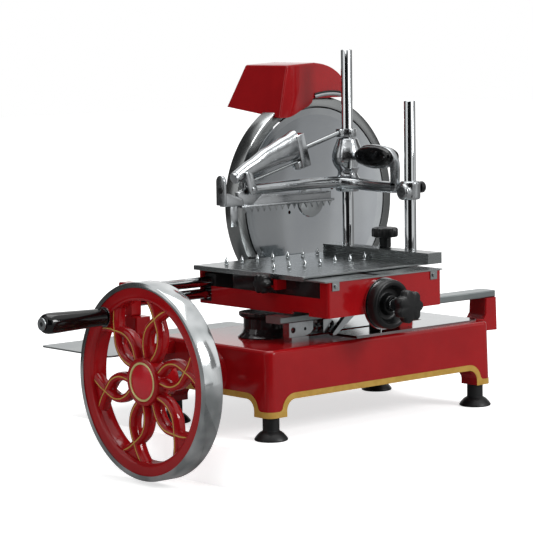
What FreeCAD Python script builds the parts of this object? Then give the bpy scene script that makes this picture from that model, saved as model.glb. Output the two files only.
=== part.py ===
"""Hand crank meat slicer with a spoked flywheel, as separate pieces in one shared frame.

Millimetres. +Z is up, +X runs along the base away from the flywheel, +Y goes from the
feed knob to the blade. The origin is the centre of the four feet, on the plane they
stand on. Each function makes one piece or one set of like pieces.
"""
import FreeCAD, Part
import math
import os

V = FreeCAD.Vector
X, Y, Z = V(1, 0, 0), V(0, 1, 0), V(0, 0, 1)

# ---- clearances -------------------------------------------------------------
RUN = 0.05            # radial running fit of a shaft in its bore
GAP = 0.3             # seat gap between curved faces of different pieces
SLIDE_GAP = 0.2       # gap under the feed table's slide strips
MESH = 0.35           # side clearance between chains and what passes them

# ---- base casting -----------------------------------------------------------
FOOT_X, FOOT_Y = 215.0, 112.0       # foot centres from the origin
FOOT_H, FOOT_R, STEM_R, DISC_H = 35.0, 25.0, 12.5, 14.0
BASE_X, BASE_Y = 232.0, 129.0       # half length and half width at the top
BASE_TOP, ARCH_Z = 134.0, 60.0
BASE_DRAFT = 2.0                    # how much wider the skirt is than the top
BASE_CORNER_R, BASE_EDGE_R, BASE_WALL = 13.0, 6.0, 7.0
LEG_W, ARCH_R = 34.0, 17.0
TRIM_H, TRIM_PROUD = 9.0, 0.6
COVER_T, COVER_Y0, COVER_X0, COVER_CORNER_R = 2.0, -112.0, -40.0, 16.0

# ---- drive ------------------------------------------------------------------
SHAFT_Z, SHAFT_R = 91.0, 9.0
CROSS_X, CROSS_R = 116.0, 8.0       # cross shaft under the blade
BEVEL_TEETH, BEVEL_R, BEVEL_FACE = 20, 25.0, 9.0    # pitch radius at the large end
BEVEL_TIP_R, BEVEL_ROOT_R, BEVEL_TIP_A, BEVEL_ROOT_A = 27.3, 22.1, 2.2, 4.9
BEVEL_HUB_R, BEVEL_HUB_L = 21.4, 6.0
SHAFT_SHORT = 4.0                   # main shaft's end behind the bevel's pitch plane
BOSS_R, BOSS_L = 28.0, 24.0         # bearing boss on the left end of the base
BUSH_T = 3.0

# ---- flywheel ---------------------------------------------------------------
WHEEL_FRONT, WHEEL_BACK, WHEEL_R = -368.0, -334.0, 146.0
RIM_T, FELLOE_RI, HUB_R = 8.0, 119.0, 36.0
SPOKES, SPOKE_ANGLE = 6, 15.8       # first spoke, degrees from +Z towards -Y
SPOKE_FRONT, SPOKE_T = -362.0, 20.0
MEDAL_R, MEDAL_T = 29.0, 3.0
CRANK_ANGLE, CRANK_AT = -44.2, 123.0
GRIP_L, GRIP_R0, GRIP_R1, PIN_R = 112.0, 13.0, 15.5, 5.0

# ---- blade and ring ---------------------------------------------------------
BLADE_Z, BLADE_R, BLADE_FRONT, BLADE_T = 318.0, 150.0, 146.0, 4.0
BLADE_GAP, BLADE_BEVEL, BLADE_DISH, BLADE_FLAT_R = 2.0, 12.0, 14.0, 60.0
RING_R, RING_DEPTH, RING_T = BLADE_R + 19.0, 30.0, 4.0
BLADE_SHAFT_R = 9.0
HUB_CAP_R, HUB_CAP_T, FLANGE_T = 28.0, 3.0, 5.0
COLUMN_W, COLUMN_Y0, COLUMN_Y1 = 112.0, 180.0, 214.0
COLUMN_WALL = 5.0

# ---- chains -----------------------------------------------------------------
BIG_TEETH, SMALL_TEETH, PITCH = 36, 12, 8.0
FEED_TEETH, FEED_SPAN, FEED_CHAIN_Y = 20, 170.0, -54.0
BLADE_CHAIN_Y = 197.0
ROLLER_R, LINK_H, LINK_T, CHAIN_W = 2.2, 6.4, 1.2, 4.0
INNER_WALL = (-34.0, -24.0)         # bearing walls of the front sprockets, in y

# ---- rails of the carriage --------------------------------------------------
RAIL_X0, RAIL_X1, RAIL_Y0, RAIL_Y1 = -167.0, 294.0, -82.0, -49.0
RAIL_Z0, RAIL_Z1 = 163.0, 174.0
ROD_Y, ROD_Z0, ROD_Z1, ROD_R = 118.0, 192.0, 210.0, 8.0
ROD_LEFT, ROD_RIGHT = -292.0, 262.0 # middles of the end blocks
BLOCK_T, BLOCK_W, BLOCK_Z0, BLOCK_Z1 = 18.0, 30.0, 172.0, 222.0

BRACKET_W, BRACKET_H, BRACKET_DROP = 38.0, 20.0, 4.0    # end brackets of the rails
PILLAR_X0, PILLAR_X1, PILLAR_PROUD = 70.0, 100.0, 9.0

STOP_X, STOP_Y, STOP_W, STOP_L = -149.0, -74.0, 14.0, 48.0  # carriage stop under the rail
STOP_Z, STOP_PAD_H = BASE_TOP + 18.0, 7.0
STOP_NUT_R, STOP_NUT_T, STOP_EYE_R = 6.0, 5.0, 10.2
TURRET_X, TURRET_R = -128.0, 31.0

# ---- carriage ---------------------------------------------------------------
BOX_X0, BOX_X1, BOX_Y0, BOX_Y1 = -142.0, 92.0, -160.0, 136.0
BOX_Z0, BOX_Z1, BOX_WALL, BOX_BAND, RIB_H = 176.0, 229.0, 5.0, 28.0, 6.0
TRAY_T, TRAY_X0, TRAY_X1 = 2.0, -150.0, 94.0
TAB_PLACES = (-128.0, 75.0)         # tabs of the tray on the front face
FORK_X = 64.0                       # drive fork of the carriage, at rest
FORK_T, FORK_W, FORK_UP_Y = 6.0, 20.0, -46.0
TRAVEL_LEFT, TRAVEL_RIGHT = 138.0, 82.0
TRIP_X, TRIP_Z, TRIP_T = -6.0, 186.0, 8.0   # pivot and thickness of the trip lever
TRIP_L, TRIP_TIP_Z, TRIP_BOSS_R, TRIP_PIN_R = 65.0, BASE_TOP + 4.0, 7.0, 2.5
ROLLER_X, RAIL_ROLLER_R, AXLE_R = TRIP_X - 6.0, 8.7, 3.0
EAR_T = 6.0

SIDE_KNOB_Y, SIDE_KNOB_Z, SIDE_KNOB_R = -42.0, 221.0, 15.5

# ---- feed table, fence, posts ----------------------------------------------
TABLE_X0, TABLE_X1, TABLE_Y0, TABLE_Y1 = -152.0, 110.0, -117.0, 136.0
TABLE_TOP, TABLE_T, TABLE_LIP = 235.0, 2.0, 7.0
SPIKES, SPIKE_X0, SPIKE_PITCH, SPIKE_H, SPIKE_R = 7, -114.0, 31.8, 12.0, 3.2
SPIKE_ROWS = (-8.0, 102.0)
FENCE_X0, FENCE_X1, FENCE_Y0, FENCE_Y1, FENCE_TOP = 84.0, 114.0, -140.0, 96.0, 253.0
SCREW_X, SCREW_Z, SCREW_R = -33.0, 189.0, 5.0
NUT_W, NUT_L, NUT_UP, NUT_DOWN = 13.6, 20.0, 11.0, 7.0  # the nut passes left of the roller
NUT_STEM_W, NUT_SLOT_GAP, TABLE_TRAVEL = 10.0, 2.0, 100.0
POST_X, POST_R = 110.5, 9.2
TALL_Y, TALL_TOP, SHORT_Y, SHORT_TOP = 65.0, 562.0, -76.0, 484.0
CLAMP_Y = -19.0                     # fence clamp knob

# ---- press arm --------------------------------------------------------------
ARM_Z, ARM_W, ARM_H = 352.0, 18.0, 17.0
ARM_LEFT = -91.0                    # pivot pin of the toothed bar
COLLAR_Z, COLLAR_H, COLLAR_R, LUG_L = 424.0, 13.0, 14.5, 5.0
COMB_X0, COMB_X1, COMB_Z, COMB_T, COMB_W = -118.0, 76.0, 325.0, 4.0, 13.0
COMB_TEETH, TOOTH_H, COMB_PIN_R = 15, 8.0, 3.0
STRUT_SLOPE, STRUT_ROD_R, STRUT_ROD_L = 15.5, 3.6, 77.0   # slope in degrees, towards -X
STRUT_BLOCK_T, STRUT_BLOCK_Y, STRUT_BLOCK_Z = 20.0, (-9.0, 16.0), (-25.0, 31.0)
HORN_R0, HORN_R1, HORN_UP, TIE_R = 17.0, 8.5, 8.0, 2.2
HORN_END = (-122.0, 65.0, 373.0)    # lower end of the strut's tapering body
LEVER_X, LEVER_Y, LEVER_Z, LEVER_T = 104.5, -48.0, 350.0, 9.0
LEVER_GRIP_Y, LEVER_GRIP_Z, LEVER_GRIP_L, LEVER_GRIP_H = -8.0, 396.0, 80.0, 31.0

# ---- feed handwheel ---------------------------------------------------------
DIAL_R, DIAL_T, HANDWHEEL_R, HANDWHEEL_T = 39.0, 4.0, 37.0, 19.0
STAR_R, STAR_T, STAR_Y, STAR_LOBES = 25.0, 16.0, -208.0, 7

# ---- sharpener --------------------------------------------------------------
STONE_X, STONE_Z = CROSS_X - 44.0, BLADE_Z + BLADE_R + 9.0
STONE_R, STONE_T, SPINDLE_R, SPINDLE_L = 18.0, 7.0, 4.0, 20.0
HOLDER_T, HOLDER_UP, HOLDER_DOWN = 16.0, 35.0, 31.0     # plate that carries stones and hood
HOLDER_LEFT, HOLDER_RIGHT = 22.0, 60.0                  # its reach from the stone's axis
HOLDER_TOP = STONE_Z + HOLDER_UP
BEAM_W, BEAM_H, LUG_W = 24.0, 12.0, 18.0
COVER_SHELL, COVER_LEAN, COVER_FLARE = 2.5, 0.47, 0.2   # lean of the back, flare of the left
COVER_FRONT, COVER_BACK = BLADE_FRONT - 13.0, BLADE_FRONT + 85.0
COVER_LEFT, COVER_RIGHT, COVER_PEAK = STONE_X - 27.0, STONE_X + 98.0, HOLDER_TOP + 29.0
CHEEK_R = BLADE_R + 5.0             # lower edge of the hood's front, round the knife's axis
CHEEK_TIP_Z, CHEEK_STEP_X = COVER_PEAK - 86.0, COVER_LEFT + 55.0
LEFT_CHEEK_Z, RIGHT_CHEEK_Z = COVER_PEAK - 71.0, COVER_PEAK - 57.0
HOOD_PIN_R, HOOD_PIN_L = 4.0, 60.0  # guide pin of the hood in that plate
HOOD_PIN_Y = BLADE_FRONT + RING_DEPTH + HOLDER_T / 2

# ---- receiving tray ---------------------------------------------------------
SLICE_X0, SLICE_X1, SLICE_Y1, SLICE_Z, SLICE_T = -328.0, 58.0, 300.0, 112.0, 2.5


# ---- helpers ----------------------------------------------------------------
def across(axis):
    """Unit direction square to an axis."""
    return X if abs(axis.y) > 0.5 else Y


def box(x0, x1, y0, y1, z0, z1):
    """Box between three pairs of coordinates."""
    return Part.makeBox(x1 - x0, y1 - y0, z1 - z0, V(x0, y0, z0))


def cyl(at, axis, radius, length):
    """Cylinder from a point along an axis."""
    return Part.makeCylinder(radius, length, V(*at), axis)


def cone(at, axis, r0, r1, length):
    """Cone frustum from a point along an axis."""
    return Part.makeCone(r0, r1, length, V(*at), axis)


def prism(points, direction):
    """Straight-sided solid on a closed polygon."""
    wire = Part.makePolygon([V(*p) for p in points] + [V(*points[0])])
    return Part.Face(wire).extrude(V(*direction))


def join(shapes):
    """One solid from touching shapes."""
    shapes = list(shapes)
    first = shapes[0]
    if len(shapes) > 1:
        first = first.fuse(shapes[1:])
    return first.removeSplitter()


def cut(shape, tools):
    """Shape less all the tools."""
    return shape.cut(list(tools))


def group(shapes):
    """Like pieces that share one node, each a solid of its own."""
    return Part.makeCompound(list(shapes))


def turned(shape, at, axis, angle):
    """Copy of a shape, turned about an axis through a point."""
    copy = shape.copy()
    copy.rotate(V(*at), axis, angle)
    return copy


def moved(shape, dx=0.0, dy=0.0, dz=0.0):
    """Copy of a shape, moved."""
    copy = shape.copy()
    copy.translate(V(dx, dy, dz))
    return copy


def is_along(edge, axis):
    """True for a straight edge parallel to an axis."""
    if not isinstance(edge.Curve, Part.Line):
        return False
    return edge.Curve.Direction.cross(axis).Length < 1e-6


def rounded(shape, radius, axis=None, where=None):
    """Fillet the edges along an axis, or those that a test accepts."""
    edges = [e for e in shape.Edges
             if (axis is None or is_along(e, axis)) and (where is None or where(e))]
    return shape.makeFillet(radius, edges)


def revolve(profile, at, axis):
    """Solid of revolution from (radius, height) points round an axis."""
    side = across(axis)
    points = [V(*at) + side * r + axis * h for r, h in profile]
    face = Part.Face(Part.makePolygon(points + [points[0]]))
    return face.revolve(V(*at), axis, 360)


def rounded_rect(half_x, half_y, radius, z):
    """Closed wire: rectangle with round corners, centred on the origin."""
    edges = []
    for k in range(4):
        a0 = k * 90.0
        sx = 1 if k in (0, 3) else -1
        sy = 1 if k in (0, 1) else -1
        centre = V(sx * (half_x - radius), sy * (half_y - radius), z)
        edges.append(Part.ArcOfCircle(Part.Circle(centre, Z, radius),
                                      math.radians(a0), math.radians(a0 + 90)).toShape())
    links = []
    for k in range(4):
        start = edges[k].valueAt(edges[k].LastParameter)
        end = edges[(k + 1) % 4].valueAt(edges[(k + 1) % 4].FirstParameter)
        links += [edges[k], Part.makeLine(start, end)]
    return Part.Wire(links)


def on_wheel(angle, radius):
    """Point in the wheel's plane, as (y, z), at an angle from +Z towards -Y."""
    a = math.radians(angle)
    return -radius * math.sin(a), SHAFT_Z + radius * math.cos(a)


def arc(p0, p1, p2):
    """Edge through three points."""
    return Part.Arc(V(*p0), V(*p1), V(*p2)).toShape()


# ---- base -------------------------------------------------------------------
def base_body(extra):
    """Drafted block of the base, larger by extra all round."""
    low = rounded_rect(BASE_X + BASE_DRAFT + extra, BASE_Y + BASE_DRAFT + extra,
                       BASE_CORNER_R + extra, FOOT_H)
    high = rounded_rect(BASE_X + extra, BASE_Y + extra, BASE_CORNER_R + extra, BASE_TOP)
    return Part.makeLoft([low, high], True)


def arch_tool(along, half):
    """Cutter of the arch between two legs."""
    reach = 2 * BASE_X
    inner = half + BASE_DRAFT - LEG_W
    tool = box(-inner, inner, -reach, reach, 0, ARCH_Z)
    tool = rounded(tool, ARCH_R, Y, lambda e: e.CenterOfMass.z > 1)
    if along == "y":
        tool = turned(tool, (0, 0, 0), Z, 90)
    return tool


def base_casting():
    """Open-bottomed casting with four legs, bearing bosses and slots in its top."""
    body = base_body(0)
    body = rounded(body, BASE_EDGE_R, None, lambda e: e.BoundBox.ZMin > BASE_TOP - 0.1)
    hollow_low = rounded_rect(BASE_X - BASE_WALL, BASE_Y - BASE_WALL, 8, FOOT_H - 1)
    hollow_high = rounded_rect(BASE_X - BASE_WALL, BASE_Y - BASE_WALL, 8, BASE_TOP - 8)
    hollow = Part.makeLoft([hollow_low, hollow_high], True)
    posts = [box(*sorted((sx * (BASE_X - LEG_W), sx * BASE_X)),
                 *sorted((sy * (BASE_Y - LEG_W), sy * BASE_Y)), 0, BASE_TOP)
             for sx in (-1, 1) for sy in (-1, 1)]
    body = body.cut(hollow.cut(posts))
    body = cut(body, [arch_tool("x", BASE_X), arch_tool("y", BASE_Y)])
    adds = [boss_left(), boss_rear()]
    idle_x = CROSS_X - FEED_SPAN
    rib_z0, rib_z1 = ARCH_Z + 6, BASE_TOP - 4
    inner_y = BASE_Y - BASE_WALL / 2
    for rib_x in (-150.0, idle_x - 50.0):
        adds.append(box(rib_x, rib_x + 8, -inner_y, inner_y, rib_z0, rib_z1))
    wall_x = CROSS_X - BEVEL_R - 26
    adds.append(box(wall_x, wall_x + 10, -30, 30, rib_z0, rib_z1))
    wall_y = BEVEL_R + 12
    adds.append(box(CROSS_X - 30, CROSS_X + 30, wall_y, wall_y + 10, rib_z0, rib_z1))
    for x in (idle_x, CROSS_X):
        adds.append(box(x - 14, x + 14, *INNER_WALL, rib_z0, rib_z1))
    body = body.fuse(adds)
    bush_r = SHAFT_R + BUSH_T
    tools = [cyl((-BASE_X - BOSS_L - 1, 0, SHAFT_Z), X, bush_r, BASE_X + CROSS_X + BOSS_L)]
    tools.append(cyl((CROSS_X, 0, SHAFT_Z), Y, CROSS_R + BUSH_T, COLUMN_Y0))
    tools += [cyl((x, INNER_WALL[0] - 1, SHAFT_Z), Y, CROSS_R + RUN, 12)
              for x in (idle_x, CROSS_X)]
    tools.append(fork_slot(BASE_TOP - 20, BASE_TOP + 1))
    return body.cut(tools).removeSplitter()


def fork_slot(z0, z1):
    """Slot in the top that the carriage's drive fork runs along."""
    reach = FORK_W / 2 + 4
    return box(FORK_X - TRAVEL_LEFT - reach, FORK_X + TRAVEL_RIGHT + reach,
               FORK_UP_Y - 4, FORK_UP_Y + FORK_T + 4, z0, z1)


def boss_left():
    """Round bearing boss on the flywheel end, with a flared foot."""
    profile = [(0, 0), (BOSS_R + 8, 0), (BOSS_R + 8, 3), (BOSS_R + 2, 9), (BOSS_R, BOSS_L),
               (0, BOSS_L)]
    return revolve(profile, (-BASE_X + 1.5, 0, SHAFT_Z), X * -1)


def boss_rear():
    """Block on the rear face that carries the cross shaft and the blade column."""
    return box(CROSS_X - 40, CROSS_X + 40, BASE_Y - 4, COLUMN_Y0, ARCH_Z, BASE_TOP - 6)


def base_trim():
    """Gilt band along the lower edge of the base, following legs and arches."""
    skin = base_body(TRIM_PROUD).cut(base_body(0.0))
    below = band_limit(BASE_X, "x").fuse(band_limit(BASE_Y, "y"))
    band = skin.common(below)
    band = cut(band, [arch_tool("x", BASE_X), arch_tool("y", BASE_Y), boss_left(), boss_rear()])
    return band.removeSplitter()


def band_limit(half, along):
    """Everything below the trim's upper edge, as a prism through the base."""
    top, leg_top, out = ARCH_Z + TRIM_H, FOOT_H + TRIM_H, 2 * BASE_X
    big, small = ARCH_R + TRIM_H, 0.4 * ARCH_R
    cx, cz = half + BASE_DRAFT - LEG_W - ARCH_R, ARCH_Z - ARCH_R
    fz = leg_top + small
    fx = cx + math.sqrt((big + small) ** 2 - (fz - cz) ** 2)
    lean = math.atan2(fz - cz, fx - cx)

    def on_big(a):
        return cx + big * math.cos(a), cz + big * math.sin(a)

    def on_small(a):
        return fx - small * math.cos(a), fz - small * math.sin(a)

    curve = [on_big(math.pi / 2), on_big((lean + math.pi / 2) / 2), on_big(lean),
             on_small((lean + math.pi / 2) / 2), on_small(math.pi / 2)]
    edges = []
    for sign in (1, -1):
        a, b, c, d, e = [(sign * px, 0, pz) for px, pz in curve]
        edges += [arc(a, b, c), arc(c, d, e),
                  Part.makeLine(V(*e), V(sign * out, 0, leg_top)),
                  Part.makeLine(V(sign * out, 0, leg_top), V(sign * out, 0, 0))]
    edges.append(Part.makeLine(V(curve[0][0], 0, top), V(-curve[0][0], 0, top)))
    edges.append(Part.makeLine(V(out, 0, 0), V(-out, 0, 0)))
    face = Part.Face(Part.Wire(Part.__sortEdges__(edges)))
    tool = moved(face.extrude(V(0, 2 * out, 0)), dy=-out)
    return turned(tool, (0, 0, 0), Z, 90) if along == "y" else tool


def cover_plate():
    """Bright plate on the base's top, with one round corner at the right front."""
    plate = box(COVER_X0, BASE_X - 4, COVER_Y0, BASE_Y - 5, BASE_TOP, BASE_TOP + COVER_T)
    plate = rounded(plate, COVER_CORNER_R, Z,
                    lambda e: e.CenterOfMass.x > 0 and e.CenterOfMass.y < 0)
    return plate.cut(fork_slot(BASE_TOP - 1, BASE_TOP + COVER_T + 1))


def rubber_feet():
    """Four feet: a stem under the leg and a flared disc."""
    feet = []
    for sx in (-1, 1):
        for sy in (-1, 1):
            feet.append(one_foot(sx * FOOT_X, sy * FOOT_Y))
    return group(feet)


def one_foot(x, y):
    """One foot, with a curved flare from stem to disc."""
    neck = V(x + STEM_R, y, DISC_H)
    edges = [Part.makeLine(V(x, y, 0), V(x + FOOT_R - 2, y, 0)),
             arc((x + FOOT_R - 2, y, 0), (x + FOOT_R, y, 1.6), (x + FOOT_R - 0.6, y, 3.4)),
             arc((x + FOOT_R - 0.6, y, 3.4), (x + 19.5, y, 9.8), tuple(neck)),
             Part.makeLine(neck, V(x + STEM_R, y, FOOT_H)),
             Part.makeLine(V(x + STEM_R, y, FOOT_H), V(x, y, FOOT_H)),
             Part.makeLine(V(x, y, FOOT_H), V(x, y, 0))]
    return Part.Face(Part.Wire(edges)).revolve(V(x, y, 0), Z, 360)


def end_bracket(sign, y_mid, width, z_top, x_in, x_out):
    """Red bracket from an end of the base out and up to what it carries."""
    high = BASE_TOP - BRACKET_DROP
    low = high - BRACKET_H
    x_base = BASE_X - 6.0
    points = [(x_base, low + 2), (x_out + 2, low), (x_out, z_top), (x_in, z_top),
              (x_in - 2, high + 5), (x_in - 6, high), (x_base, high)]
    points = [(sign * px, y_mid - width / 2, pz) for px, pz in points]
    outer = BASE_X + 10
    bracket = rounded(prism(points, (0, width, 0)), 3.0, None,
                      lambda e: e.BoundBox.ZLength > BRACKET_H + 5 and abs(e.CenterOfMass.x) > outer)
    return bracket.cut(base_body(0.0))


def rail_brackets():
    """Red brackets of the front rail and of the rods' end blocks, and the rail's pillar."""
    front = end_bracket(1, (RAIL_Y0 + RAIL_Y1) / 2, BRACKET_W, RAIL_Z0, RAIL_X1 - 23, RAIL_X1 + 1)
    y_mid = BASE_Y - BASE_CORNER_R - BLOCK_W / 2
    reach = BLOCK_T / 2 + 5
    rear = [end_bracket(1 if x > 0 else -1, y_mid, BLOCK_W, BLOCK_Z0, abs(x) - reach,
                        abs(x) + reach) for x in (ROD_LEFT, ROD_RIGHT)]
    return group([front, rail_pillar()] + rear)


def front_rail():
    """Flat bar that the carriage's front roller runs on."""
    bar = box(RAIL_X0, RAIL_X1, RAIL_Y0, RAIL_Y1, RAIL_Z0, RAIL_Z1)
    return rounded(bar, 2.0, X)


def rail_pillar():
    """Red pillar under the rail, on a cover plate cut-out of its own."""
    pillar = box(PILLAR_X0, PILLAR_X1, RAIL_Y0 - PILLAR_PROUD, RAIL_Y1, BASE_TOP + COVER_T, RAIL_Z0)
    return rounded(pillar, 4.0, Z)


def guide_rods():
    """Two chromed rods, one above the other."""
    over = BLOCK_T / 2 + 3
    return group(cyl((ROD_LEFT - over, ROD_Y, z), X, ROD_R, ROD_RIGHT - ROD_LEFT + 2 * over)
                 for z in (ROD_Z0, ROD_Z1))


def rod_blocks():
    """Clamp blocks that hold the rods' ends."""
    blocks = []
    for mid in (ROD_LEFT, ROD_RIGHT):
        block = box(mid - BLOCK_T / 2, mid + BLOCK_T / 2, ROD_Y - BLOCK_W / 2,
                    ROD_Y + BLOCK_W / 2, BLOCK_Z0, BLOCK_Z1)
        block = rounded(block, 3.0, X)
        holes = [cyl((mid - BLOCK_T, ROD_Y, z), X, ROD_R, 2 * BLOCK_T)
                 for z in (ROD_Z0, ROD_Z1)]
        blocks.append(block.cut(holes))
    return group(blocks)


def drive_turret():
    """Round pedestal on the base under the carriage, with flared foot and top flange."""
    r, h = TURRET_R, BOX_Z0 - 4.0 - BASE_TOP
    profile = [(0, 0), (r + 9, 0), (r + 9, 2), (r + 3, 7), (r, 14), (r, h - 9), (r + 5, h - 6),
               (r + 7, h - 4), (r + 7, h), (0, h)]
    return revolve(profile, (TURRET_X, 0, BASE_TOP), Z)


def carriage_stop():
    """Stop under the rail: block, threaded rod with nuts, and fork."""
    return group([stop_block(), stop_rod(), stop_fork()])


def stop_block():
    """Left block of the carriage stop: a link with two holes on a red pad."""
    y0, y1 = STOP_Y - STOP_W / 2, STOP_Y + STOP_W / 2
    right, pad_top = STOP_X + STOP_L, BASE_TOP + STOP_PAD_H
    points = [(STOP_X, y0, pad_top), (STOP_X + 25, y0, pad_top - 2), (right - 5, y0, pad_top + 4),
              (right, y0, pad_top + 9), (right, y0, RAIL_Z0), (STOP_X, y0, RAIL_Z0)]
    block = prism(points, (0, STOP_W, 0))
    pad = box(STOP_X + 3, right - 11, y0 - 2, y1 + 2, BASE_TOP, pad_top)
    holes = [cyl((STOP_X + at, y0 - 1, STOP_Z), Y, r, STOP_W + 2) for at, r in ((8, 4.5), (32, 2.5))]
    return join([block, pad]).cut(holes)


def stop_rod():
    """Threaded rod with its lock nuts, between stop block and fork."""
    start = STOP_X + STOP_L
    rod = cyl((start, STOP_Y, STOP_Z), X, 3.0, 21)
    nuts = [hexagon((start + at, STOP_Y, STOP_Z), X, STOP_NUT_R, STOP_NUT_T) for at in (2, 13)]
    return join([rod] + nuts)


def hexagon(at, axis, radius, length):
    """Hexagonal prism along an axis."""
    side = across(axis)
    up = axis.cross(side)
    pts = [V(*at) + side * (radius * math.cos(math.radians(60 * k)))
           + up * (radius * math.sin(math.radians(60 * k))) for k in range(6)]
    return Part.Face(Part.makePolygon(pts + [pts[0]])).extrude(axis * length)


def stop_fork():
    """Round-ended fork of the stop, with its pin hole."""
    y0, y1 = STOP_Y - STOP_W / 2, STOP_Y + STOP_W / 2
    start = STOP_X + STOP_L + 21
    eye_x = start + 12
    lug = join([box(start, eye_x, y0, y1, STOP_Z - STOP_EYE_R, STOP_Z + STOP_EYE_R),
                cyl((eye_x, y0, STOP_Z), Y, STOP_EYE_R, STOP_W)])
    slot = box(start + 6, eye_x + 2 * STOP_EYE_R, y0 + 4, y1 - 4, BASE_TOP, RAIL_Z1)
    return lug.cut([slot, cyl((eye_x + 2, y0 - 1, STOP_Z), Y, 3.0, STOP_W + 2)])


def shaft_bushes():
    """Bronze bushes of the main shaft and of the cross shaft."""
    outer, inner = SHAFT_R + BUSH_T, SHAFT_R + RUN
    seats = [(-BASE_X - BOSS_L + 1.5, 30.0), (CROSS_X - BEVEL_R - 26, 10.0)]
    bushes = [cyl((x, 0, SHAFT_Z), X, outer, l).cut(cyl((x - 1, 0, SHAFT_Z), X, inner, l + 2))
              for x, l in seats]
    outer, inner = CROSS_R + BUSH_T, CROSS_R + RUN
    for y, length in ((BEVEL_R + 12, 10.0), (BASE_Y, COLUMN_Y0 - BASE_Y)):
        tube = cyl((CROSS_X, y, SHAFT_Z), Y, outer, length)
        bushes.append(tube.cut(cyl((CROSS_X, y - 1, SHAFT_Z), Y, inner, length + 2)))
    return group(bushes)


# ---- flywheel ---------------------------------------------------------------
def flywheel_rim():
    """Polished steel tyre."""
    width = WHEEL_BACK - WHEEL_FRONT
    tyre = cyl((WHEEL_FRONT, 0, SHAFT_Z), X, WHEEL_R, width)
    tyre = tyre.cut(cyl((WHEEL_FRONT - 1, 0, SHAFT_Z), X, WHEEL_R - RIM_T, width + 2))
    return tyre.makeChamfer(1.0, [e for e in tyre.Edges if e.Length > 6 * (WHEEL_R - 4)])


def spoke(angle):
    """Petal spoke: two bowed bars that cross near the felloe, as one flat casting."""
    def at(r, w):
        y, z = on_wheel(angle, r)
        a = math.radians(angle)
        return (SPOKE_FRONT, y - w * math.cos(a), z - w * math.sin(a))

    bow = [arc(at(30, 8), at(62, 21), at(97, 8)), arc(at(97, 8), at(108, 11), at(120.5, 25)),
           Part.makeLine(V(*at(120.5, 25)), V(*at(120.5, -25))),
           arc(at(120.5, -25), at(108, -11), at(97, -8)),
           arc(at(97, -8), at(62, -21), at(30, -8)),
           Part.makeLine(V(*at(30, -8)), V(*at(30, 8)))]
    solid = Part.Face(Part.Wire(bow)).extrude(V(SPOKE_T, 0, 0))
    eye = [arc(at(38, 0), at(64, 11.5), at(94, 0)), arc(at(94, 0), at(64, -11.5), at(38, 0))]
    eye = Part.Face(Part.Wire(eye)).extrude(V(SPOKE_T + 4, 0, 0))
    eye.translate(V(-2, 0, 0))
    return solid.cut(eye)


def flywheel_spider():
    """Red casting inside the tyre: felloe, six petal spokes and hub."""
    length = WHEEL_BACK - WHEEL_FRONT - 3
    x0 = WHEEL_FRONT + 1.5
    felloe_r = WHEEL_R - RIM_T
    felloe = cyl((x0, 0, SHAFT_Z), X, felloe_r, length)
    felloe = felloe.cut(cyl((x0 - 1, 0, SHAFT_Z), X, FELLOE_RI, length + 2))
    inner = [e for e in felloe.Edges if abs(e.Length - 2 * math.pi * FELLOE_RI) < 1]
    felloe = felloe.makeFillet(5.0, inner)
    hub = revolve([(0, 0), (HUB_R - 3, 0), (HUB_R, 3), (HUB_R, 22), (24, 38), (24, 52), (0, 52)],
                  (x0, 0, SHAFT_Z), X)
    petals = [spoke(SPOKE_ANGLE + k * 360.0 / SPOKES) for k in range(SPOKES)]
    wheel = felloe.fuse([hub] + petals)
    y, z = on_wheel(CRANK_ANGLE, CRANK_AT)
    seat = cyl((x0 + 0.5, y, z), X, PIN_R + 6, length - 6)
    wheel = wheel.fuse([seat])
    bores = [cyl((x0 + MEDAL_T + 3, 0, SHAFT_Z), X, SHAFT_R, 60),
             cyl((x0 - 5, y, z), X, PIN_R, length + 10),
             cyl((x0 - 1, 0, SHAFT_Z), X, MEDAL_R, MEDAL_T + 1)]
    return wheel.cut(bores).removeSplitter()


def hub_medallion():
    """Plain round badge plate in the hub, with a raised rim."""
    x0 = WHEEL_FRONT + 1.5
    plate = cyl((x0, 0, SHAFT_Z), X, MEDAL_R, MEDAL_T)
    dish = cyl((x0 - 1, 0, SHAFT_Z), X, MEDAL_R - 3, 2.0)
    return plate.cut(dish)


def main_shaft():
    """Shaft from the flywheel to the bevel gears, with a collar."""
    x0 = WHEEL_FRONT + 1.5 + MEDAL_T + 3
    x1 = CROSS_X - BEVEL_R - SHAFT_SHORT
    shaft = cyl((x0, 0, SHAFT_Z), X, SHAFT_R, x1 - x0)
    collar = cyl((-BASE_X + BASE_WALL + 22, 0, SHAFT_Z), X, SHAFT_R + 6, 8)
    return join([shaft, collar])


def bevel_gear(direction, phase):
    """Straight mitre gear that tapers towards the shafts' crossing, on a round hub."""
    apex = V(CROSS_X, 0, SHAFT_Z)
    ends = [bevel_outline(apex, direction, far, phase) for far in (BEVEL_R, BEVEL_R - BEVEL_FACE)]
    toothed = Part.makeLoft(ends, True, True)
    back = apex - direction * BEVEL_R
    return toothed.fuse(cyl(tuple(back), direction * -1, BEVEL_HUB_R, BEVEL_HUB_L))


def bevel_outline(apex, direction, far, phase):
    """Closed outline of the teeth in the plane that lies far from the apex."""
    scale = far / BEVEL_R
    centre = apex - direction * far
    side = across(direction)
    up = direction.cross(side)
    points = []
    for k in range(BEVEL_TEETH):
        middle = 360.0 * k / BEVEL_TEETH + phase
        for radius, turn in ((BEVEL_ROOT_R, -BEVEL_ROOT_A), (BEVEL_TIP_R, -BEVEL_TIP_A),
                             (BEVEL_TIP_R, BEVEL_TIP_A), (BEVEL_ROOT_R, BEVEL_ROOT_A)):
            a = math.radians(middle + turn)
            points.append(centre + (side * math.cos(a) + up * math.sin(a)) * (radius * scale))
    return Part.makePolygon(points + [points[0]])


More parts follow.
